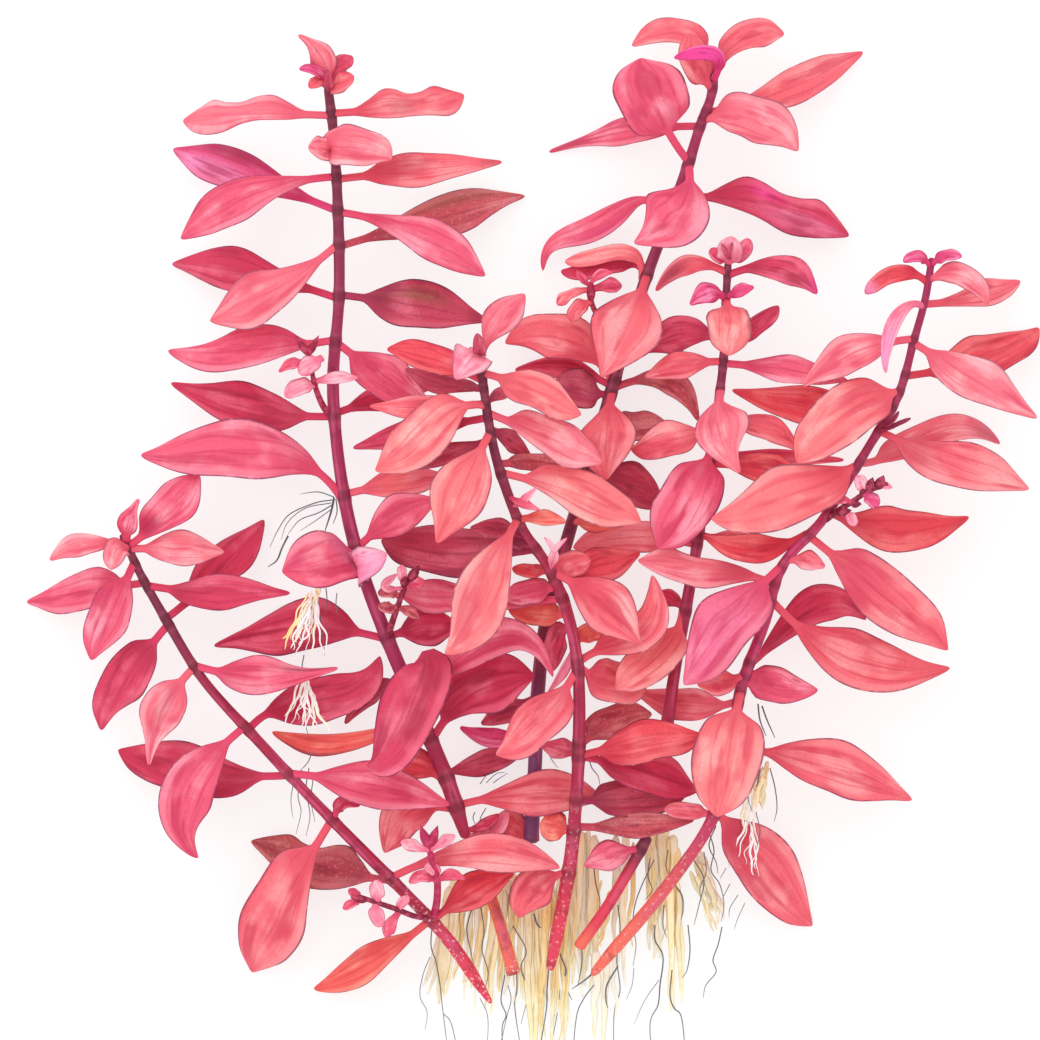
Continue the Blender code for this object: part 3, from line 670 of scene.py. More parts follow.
@dataclass(frozen=True)
class Leaf:
    """A leaf: its route from the stem to its tip and the width that is seen from above.

    The route starts on the stem, where only x and y are given, and has a height in millimetres
    at each further point. The width is in sheet steps. The stalk is the petiole's share of the
    length, and a leaf apart has a solid of its own.
    """

    label: str
    route: list[Place]
    width: float
    tone: Tone
    left: Edge = Edge.PLAIN
    right: Edge = Edge.PLAIN
    touches: tuple[Touch, ...] = ()
    stalk: float = 0.14
    apart: bool = False

    thickness = 0.00034
    petiole_width = 0.0015
    petiole_share = 0.45
    petiole_height = 0.0009
    tip_start = 0.95
    tilt = math.radians(28)
    cup = 0.14
    fold = 0.05
    vein_relief = 0.022
    unevenness = 0.04
    rib_height = 0.0004
    rib_reach = 0.09
    vein_gap = 0.4
    edge_waves = 1.3
    ripple_waves = 2.1
    ripple_range = (0.05, 0.1)
    crowding = 1.3
    petiole_taper = 0.55
    grid = (44, 20)
    tiny = 75
    tiny_grid = (22, 8)

    @classmethod
    def read(cls, line: str) -> "Leaf":
        """A leaf from a line of a table.

        Before the colon are the label, the tone, the edges and the width. One edge stands for
        both, and none for plain ones. A star marks a leaf apart. After the colon is the route,
        and behind semicolons the stalk, where it is unlike the usual one, and the touches.

        Args:
            line: the line.

        Returns:
            The leaf.
        """
        head, route, *extras = line.replace(":", ";").split(";")
        label, tone, *edges, width = head.split()
        left, right = (edges * 2 or ["PLAIN"] * 2)[:2]
        stalk = [float(extra) for extra in extras if len(extra.split()) == 1]
        touches = tuple(Touch.read(extra) for extra in extras if len(extra.split()) > 1)
        return cls(label.rstrip("*"), places(route), float(width), Tone[tone], Edge[left],
                   Edge[right], touches, *stalk, apart=label.endswith("*"))

    def skin(self, foot: Array, name: str) -> Skin:
        """The leaf's closed surface.

        With u along the blade and s across it from -1 to 1, a point is midrib(u) + side(u) *
        s * half width(u) + face(u) * lift(u, s), plus or minus half the thickness. The lift
        adds a fold along the midrib, a cup that raises the edges with s squared, ripples that
        grow towards the edges, and low ridges between the veins.

        Args:
            foot: where the leaf starts, in the world.
            name: the leaf's name, which seeds its small irregularities.

        Returns:
            The surface with the marks blade, side and touch.
        """
        points = np.concatenate([[foot], Sheet.place(self.route[1:])])
        length = np.linalg.norm(np.diff(points, axis=0), axis=1).sum() / Sheet.step
        rows, columns = self.tiny_grid if length < self.tiny else self.grid
        chance = seeded(name)
        t = 1 - np.linspace(1, 0, rows + 1) ** self.crowding
        curve = midrib(points, t)
        left, above = level_frames(curve)
        u = (t - self.stalk) / (1 - self.stalk)
        blade = np.clip(u, 0, 1)[:, None]

        upper = np.linspace(-1, 1, columns + 1)
        s = np.concatenate([upper, upper[-2:0:-1]])[None]
        face_sign = np.concatenate([[0], np.ones(columns - 1), [0], -np.ones(columns - 1)])[None]

        tilt = -self.tilt * left[:, 1]
        full = self.width * Sheet.step / np.cos(tilt)
        tip = np.clip((u - self.tip_start) / (1 - self.tip_start), 0, 1)
        stem_end = np.minimum(self.petiole_width, self.petiole_share * full)
        taper = 1 - self.petiole_taper * blade[:, 0]
        stem_end = (stem_end * taper * np.sqrt(1 - tip ** 2))[:, None]
        outline = np.where(s > 0, self.left.share(blade), self.right.share(blade))
        outline = np.where(s == 0, (self.left.share(blade) + self.right.share(blade)) / 2, outline)
        half = (stem_end + (full[:, None] - stem_end) * outline) / 2
        side = np.cos(tilt)[:, None] * left + np.sin(tilt)[:, None] * above
        face = np.cos(tilt)[:, None] * above - np.sin(tilt)[:, None] * left

        phases = chance.uniform(0, 2 * math.pi, 4)
        turns = 2 * math.pi * self.edge_waves * blade
        swings = np.sin(turns + np.where(s < 0, phases[0], phases[1]))
        across = s * half * (1 + self.unevenness * swings * outline)
        turns = 2 * math.pi * self.ripple_waves * blade
        ripples = np.sin(turns + np.where(s < 0, phases[2], phases[3]))
        ripple = chance.uniform(*self.ripple_range)
        lift = half * outline * (
            self.fold * np.abs(s) + (self.cup - self.fold) * s ** 2 + ripple * ripples * s ** 2
            - self.vein_relief * np.cos(2 * math.pi * s / self.vein_gap) * (1 - s ** 2))

        stalk = np.clip(1 - outline.max(axis=1, keepdims=True) * 4, 0, 1) * (blade < 0.5)
        body = self.thickness + (self.petiole_height - self.thickness) * stalk
        power = 8 - 6 * stalk
        lens = np.sqrt(np.clip(1 - np.abs(s) ** power, 0, 1))
        rib = self.rib_height * np.exp(-(s / self.rib_reach) ** 2) * (1 - blade) * (1 - stalk)
        rib = rib * (face_sign < 0)
        lift = lift + face_sign * (body / 2 * lens + rib)

        skin = (curve[:, None] + side[:, None] * across[..., None]
                + face[:, None] * lift[..., None])
        points = np.concatenate([skin[:-1].reshape(-1, 3), curve[:1], curve[-1:]])
        quads, fans = ring_faces(1, rows, 2 * columns)
        marks = self.marks(np.repeat(u[:-1, None], 2 * columns, axis=1),
                           np.repeat(s, rows, axis=0), np.repeat(face_sign, rows, axis=0),
                           chance.uniform())
        return Skin(points, quads[:, [0, 3, 2, 1]], fans[:, [1, 0, 2]], marks)

    def marks(self, u: Array, s: Array, face_sign: Array, own: float) -> dict[str, Array]:
        """What the finish reads at each point.

        Args:
            u: share along the blade at each ring point.
            s: share across it.
            face_sign: 1 on the upper face and -1 on the underside.
            own: a number of the leaf's own.

        Returns:
            The marks by name, with the two end points added.
        """
        u = np.append(u.ravel(), [-0.3, 1.0])
        s = np.append(s.ravel(), [0.0, 0.0])
        under = np.append((face_sign.ravel() < 0).astype(float), [0.0, 0.0])
        touch = np.zeros((len(u), 4))
        for stroke in self.touches:
            weight = stroke.weight(u, s)[:, None]
            mixed = touch[:, :3] * (1 - weight) + np.array(stroke.colour[:3]) * weight
            total = touch[:, 3:] + weight * (1 - touch[:, 3:])
            touch = np.concatenate([mixed, total], axis=1)
        seen = np.clip(touch[:, 3:], 1e-6, 1)
        touch = np.concatenate([touch[:, :3] / seen, touch[:, 3:]], axis=1)
        blade = np.stack([u, s, np.full(len(u), own)], axis=-1)
        side = np.stack([under, under * 0, under * 0], axis=-1)
        return {"blade": blade, "side": side, "touch": touch}


@dataclass(frozen=True)
class StemFinish:
    """A smooth stem whose colour changes from its tip to its foot."""

    tip: Colour
    middle: Colour
    foot: Colour
    streak: Colour = pigment("ce547c")
    ring: Colour = pigment("e88496")
    speckle: Colour = pigment("fac8c8")
    speckles: float = 0.0
    roughness: float = 0.5

    @classmethod
    def of(cls, paints: str, speckles: float = 0.0) -> "StemFinish":
        """A finish from the paints of its tip, middle and foot, and how speckled the foot is."""
        return cls(*(Paint[name].value for name in paints.split()), speckles=speckles)

    def material(self, name: str) -> Material:
        """The finish as a material.

        The mark "skin" holds the direction around the stem and the distance along it, and the
        mark "tint" the share of the way down, how near a ring is, and how near a joint is.

        Args:
            name: the material's name.

        Returns:
            The material.
        """
        tree = ShaderTree(name, self.roughness, 0.35)
        skin = tree.mark("skin")
        spot = tree.spot()
        down, ring, joint = tree.parts(tree.mark("tint", "Color"))
        colour = tree.blend(tree.rise(down, 0.12, 0.4), self.tip, self.middle)
        colour = tree.blend(tree.rise(down, 0.72, 0.96), colour, self.foot)
        long = tree.patches(tree.scaled(skin, (1.0, 1.0, 0.6)), 1, 2, 0.5, 0.64, 0.6)
        streak = tree.product(long, tree.rise(down, 0.1, 0.5))
        colour = tree.blend(streak, colour, self.streak)
        shade = tree.patches(spot, 420, 3, 0.5, 0.72, 0.4)
        colour = tree.blend(shade, colour, pigment("460822"))
        colour = tree.blend(tree.product(joint, 0.5), colour, pigment("540e1e"))
        colour = tree.blend(tree.product(ring, 0.1), colour, self.ring)
        dots = tree.patches(spot, 1500, 1, 0.6, 0.66, self.speckles)
        colour = tree.blend(tree.product(dots, tree.rise(down, 0.68, 0.85)), colour, self.speckle)
        return tree.finished(colour, tree.noise(tree.scaled(skin, (5, 5, 3)), 1, 3), 0.0001)


@dataclass(frozen=True)
class RootFinish:
    """Root tissue, whose tint is each strand's own."""

    roughness: float = 0.62

    def material(self, name: str) -> Material:
        """The finish as a material, which reads each strand's colour from the mark "tint".

        Args:
            name: the material's name.

        Returns:
            The material.
        """
        tree = ShaderTree(name, self.roughness, 0.3)
        spot = tree.spot()
        tint = tree.mark("tint", "Color")
        pale = tree.blend(0.6, tint, tint, "SCREEN")
        colour = tree.blend(tree.patches(spot, 240, 3, 0.42, 0.6, 0.9), tint, pale)
        dark = tree.blend(1.0, colour, pigment("f4e8d2"), "MULTIPLY")
        grains = tree.patches(tree.scaled(spot, (9, 1, 9)), 260, 3, 0.52, 0.7, 0.7)
        colour = tree.blend(grains, colour, dark)
        return tree.finished(colour, tree.noise(spot, 1800, 3), 0.0001)


@dataclass(frozen=True)
class TwigFinish:
    """The skin of twigs and buds, whose tint is each shoot's own."""

    roughness: float = 0.5
    light: Colour = pigment("e25a7c")

    def material(self, name: str) -> Material:
        """The finish as a material, which reads the mark "tint".

        Args:
            name: the material's name.

        Returns:
            The material.
        """
        tree = ShaderTree(name, self.roughness, 0.35)
        spot = tree.spot()
        tint = tree.mark("tint", "Color")
        lighter = tree.blend(0.5, tint, self.light)
        colour = tree.blend(tree.patches(spot, 900, 3, 0.45, 0.62, 0.8), tint, lighter)
        return tree.finished(colour, tree.noise(spot, 2500, 2), 0.00008)


@dataclass(frozen=True)
class Stem:
    """A stem with its leaves.

    The route runs from the tip to the cut foot, with the axis's height in millimetres, and the
    widths are those at the tip and at the foot, in sheet steps. The cut is the share of the
    width that is left at the very foot. Leaves that aren't apart belong to the stem's solid.
    """

    name: str
    route: list[Place]
    widths: tuple[float, float]
    finish: StemFinish
    cut: float = 1.0
    leaves: list[Leaf] = field(default_factory=list)

    flatness = 0.92
    sides = 20
    samples = 320
    swelling = 0.14
    cut_reach = 0.007
    joint_leaf = 27
    joint_reach = 0.0011
    ring_reach = 0.0004
    petiole_depth = 0.55
    unevenness = 0.03
    uneven_step = 0.004
    end_reach = 0.0008
    end_width = 0.55

    @property
    def node(self) -> str:
        """The stem's solid."""
        return f"stem_{self.name}"

    def axis(self) -> tuple[Array, Array]:
        """The stem's axis, whose radius falls towards the cut with a power of 1.5.

        Returns:
            The points of the axis and the radius at each.
        """
        radii = np.linspace(*self.widths, self.samples) * Sheet.step / 2
        route = smooth_route(Sheet.place(self.route), self.samples)
        left = np.linalg.norm(route - route[-1], axis=1) / self.cut_reach
        return route, radii * (1 - (1 - self.cut) * np.clip(1 - left, 0, 1) ** 1.5)

    def foot_of(self, leaf: Leaf) -> tuple[int, Array]:
        """Where a leaf's petiole leaves the stem.

        Args:
            leaf: the leaf.

        Returns:
            The number of the nearest axis point, and a point just inside the stem's skin.
        """
        axis, radii = self.axis()
        heights = axis[:, 2] / MM
        foot_x, foot_y = leaf.route[0]
        feet = Sheet.place(np.stack([np.full_like(heights, foot_x),
                                     np.full_like(heights, foot_y), heights], axis=-1))
        nearest = int(np.argmin(np.linalg.norm(axis - feet, axis=1)))
        along = unit(np.gradient(axis, axis=0)[nearest])
        towards = Sheet.place(leaf.route[1]) - axis[nearest]
        outward = unit(towards - along * towards.dot(along))
        return nearest, axis[nearest] + outward * radii[nearest] * self.petiole_depth

    def skin(self) -> Skin:
        """The stem's closed surface: a tube that swells at each joint where leaves grow.

        With d the distance to the nearest joint, the swelling is exp(-(d / reach) squared), and
        a ring is marked on both sides of the joint.

        Returns:
            The surface with the marks skin and tint.
        """
        axis, radii = self.axis()
        steps = np.linalg.norm(np.diff(axis, axis=0), axis=1)
        along = np.concatenate([[0], np.cumsum(steps)])
        joints = np.array([along[self.foot_of(leaf)[0]] for leaf in self.leaves
                           if leaf.width > self.joint_leaf] or [along[-1]])
        distance = np.abs(along[:, None] - joints).min(axis=1)
        joint = np.exp(-(distance / self.joint_reach) ** 2)
        ring = np.exp(-((distance - self.joint_reach) / self.ring_reach) ** 2)
        chance = seeded(self.name)
        uneven = 1 + self.unevenness * np.sin(along / self.uneven_step + chance.uniform(0, 6))
        ends = np.clip(np.minimum(along, along[-1] - along) / self.end_reach, 0, 1)
        rounded = np.sqrt(1 - (1 - ends) ** 2) * (1 - self.end_width) + self.end_width
        widths = radii * (1 + self.swelling * joint) * uneven * rounded
        skin = tubes(axis[None], widths[None], widths[None] * self.flatness, self.sides)
        tint = np.stack([along / along[-1], ring, joint, np.ones_like(along)], axis=-1)
        skin.marks["tint"] = np.concatenate([np.repeat(tint, self.sides, axis=0),
                                             tint[:1], tint[-1:]])
        return skin

    def build(self) -> None:
        """Makes the stem and each of its leaves."""
        self.skin().make(f"{self.node}_core", self.finish.material(f"{self.name} stem"), "stem",
                         self.node)
        for leaf in self.leaves:
            name = f"leaf_{self.name}_{leaf.label}"
            skin = leaf.skin(self.foot_of(leaf)[1], f"{name}_blade")
            skin.make(f"{name}_blade", leaf.tone.material(), leaf.tone.slot,
                      name if leaf.apart else self.node)


@dataclass(frozen=True)
class Bud:
    """A closed spindle from a foot to a tip, with its full width in sheet steps."""

    foot: Place
    tip: Place
    width: float

    samples = 12
    sides = 10
    flatness = 0.9

    @classmethod
    def read(cls, line: str) -> "Bud":
        """A bud from a line with its width, a colon, and its foot and tip."""
        width, ends = line.split(":")
        return cls(*places(ends), float(width))

    def skin(self, tint: Colour) -> Skin:
        """The bud's surface: a tube whose radius is a half sine along it.

        Args:
            tint: the bud's colour.

        Returns:
            The surface with the marks skin and tint.
        """
        t = np.linspace(0.02, 0.99, self.samples)
        ends = Sheet.place([self.foot, self.tip])
        route = ends[0] + (ends[1] - ends[0]) * t[:, None]
        radii = np.sin(math.pi * t ** 0.8) * self.width * Sheet.step / 2
        return tubes(route[None], radii[None], radii[None] * self.flatness, self.sides,
                     np.array([tint]))


@dataclass(frozen=True)
class SideShoot:
    """A twig with tiny leaves and dark buds."""

    name: str
    twig: list[Place]
    widths: tuple[float, float]
    leaves: list[Leaf]
    buds: list[Bud]
    tint: Colour = pigment("961438")

    samples = 40
    sides = 12

    def build(self) -> None:
        """Makes the twig with its buds as one piece and each tiny leaf as another."""
        route = smooth_route(Sheet.place(self.twig), self.samples)
        radii = np.linspace(*self.widths, self.samples) * Sheet.step / 2
        parts = [tubes(route[None], radii[None], radii[None], self.sides, np.array([self.tint]))]
        parts += [bud.skin(self.tint) for bud in self.buds]
        Skin.joined(parts).make(f"{self.name}_twig", dressing(TwigFinish(), "twig and bud"),
                                "side_shoot", self.name)
        for leaf in self.leaves:
            piece = f"{self.name}_leaf_{leaf.label}"
            skin = leaf.skin(Sheet.place(leaf.route[0]), piece)
            skin.make(piece, leaf.tone.material(), "side_shoot", self.name)


class Strand(Enum):
    """The kinds of root strand: colour, full width and height in millimetres, waviness."""

    OCHRE = (pigment("feeebe"), 1.3, 0.3, 0.45)
    AMBER = (pigment("f8d896"), 0.8, 0.3, 0.6)
    CREAM = (pigment("fdf5d8"), 1.3, 0.3, 0.5)
    WHITE = (pigment("fcf0f2"), 0.4, 0.26, 0.8)
    GREY = (pigment("60626c"), 0.22, 0.2, 1.6)


@dataclass(frozen=True)
class Bundle:
    """Strands of one kind that leave one place and spread towards another.

    Both places are x, y and height in millimetres, and the spreads are the half widths of the
    bundle there in sheet steps.
    """

    kind: Strand
    count: int
    start: Place
    end: Place
    spread: tuple[float, float]
    short: float = 0.35
    thick: float = 1.0

    points = 36
    sides = 6
    ragged = 11
    blunt = 0.06
    swing = 3.2
    taper = 0.75

    @classmethod
    def read(cls, line: str) -> "Bundle":
        """A bundle from a line of a table.

        Args:
            line: the kind, the count and the two spreads, then short and thick where they are
                unlike the usual ones, a colon, and the two places.

        Returns:
            The bundle.
        """
        head, ends = line.split(":")
        kind, count, *values = head.split()
        near, far, *more = map(float, values)
        return cls(Strand[kind], int(count), *places(ends), (near, far), *more)

    def skin(self, name: str) -> Skin:
        """The strands' surfaces.

        With t from 0 to 1, a strand runs straight from its own start to its own end and swings
        sideways by a sum of two sines that grows with t. Its height falls with (1 - t) squared.

        Args:
            name: seeds the bundle's random places.

        Returns:
            All the strands as one skin.
        """
        chance = seeded(name)
        colour, width, height, wave = self.kind.value

        def draw(low: float, high: float) -> Array:
            """A random number for each strand."""
            return chance.uniform(low, high, (self.count, 1))

        t = np.linspace(0, 1, self.points)[None]
        share = draw(-1, 1)
        stray = np.clip(share + chance.normal(0, 0.25, (self.count, 1)), -1.2, 1.2)
        start, end = np.array(self.start), np.array(self.end)
        ahead = unit(end[:2] - start[:2])
        sideways = np.array([-ahead[1], ahead[0]])
        reach = 1 - draw(0, self.short)
        run = np.linalg.norm(end[:2] - start[:2]) * reach * t
        run = run + self.ragged * draw(-1, 1) * (1 - t)
        swing = np.sin(t * draw(4, 9) + draw(0, 6)) + 0.5 * np.sin(t * draw(12, 20) + draw(0, 6))
        swing = swing * (0.25 + t) * self.swing * wave
        near = share * self.spread[0]
        offset = near + (stray * self.spread[1] - near) * t * reach
        plan = (start[:2] + run[..., None] * ahead + (offset + swing)[..., None] * sideways)
        level = end[2] + (start[2] - end[2]) * draw(0.6, 1.0) * (1 - t * reach) ** 2
        level = np.maximum(level, height / 2 + 0.05)
        routes = Sheet.place(np.concatenate([plan, level[..., None]], axis=-1))
        girth = self.thick * draw(0.5, 1.4) * (1 - self.taper * t ** 3)
        girth = girth * np.sqrt(np.clip(t / self.blunt, 0.1, 1))
        tint = np.array(colour) * draw(0.85, 1.1)
        tint[:, 3] = 1
        return tubes(routes, girth * width * MM / 2, girth * height * MM / 2, self.sides, tint)


@dataclass(frozen=True)
class Thread:
    """One long grey thread: its heights at the two ends in millimetres and its route."""

    heights: tuple[float, float]
    route: list[Place]
    thick: float = 1.0

    points = 60
    sides = 6
    taper = 0.6

    @classmethod
    def read(cls, line: str) -> "Thread":
        """A thread from a line of a table.

        Args:
            line: the two heights, and the thickness where it isn't 1, a colon, and the route.

        Returns:
            The thread.
        """
        head, route = line.split(":")
        high, low, *thick = map(float, head.split())
        return cls((high, low), places(route), *thick)

    def skin(self) -> Skin:
        """The thread's surface: a fine tube whose height falls with (1 - t) squared.

        Returns:
            The surface with the marks skin and tint.
        """
        colour, width, height, _ = Strand.GREY.value
        t = np.linspace(0, 1, self.points)
        plan = smooth_route(np.array(self.route, float), self.points)
        level = self.heights[1] + (self.heights[0] - self.heights[1]) * (1 - t) ** 2
        path = Sheet.place(np.concatenate([plan, level[:, None]], axis=1))
        girth = (1 - self.taper * t ** 3)[None] * self.thick * MM / 2
        return tubes(path[None], girth * width, girth * height, self.sides, np.array([colour]))


@dataclass(frozen=True)
class RootTuft:
    """A tuft of roots, made of bundles of strands and of single threads."""

    name: str
    bundles: list[Bundle]
    threads: list[Thread]

    def build(self) -> None:
        """Makes the whole tuft as one piece."""
        skins = [bundle.skin(f"{self.name} {i}") for i, bundle in enumerate(self.bundles)]
        skins += [thread.skin() for thread in self.threads]
        Skin.joined(skins).make(f"{self.name}_strands", dressing(RootFinish(), "root strand"),
                                "root", self.name)


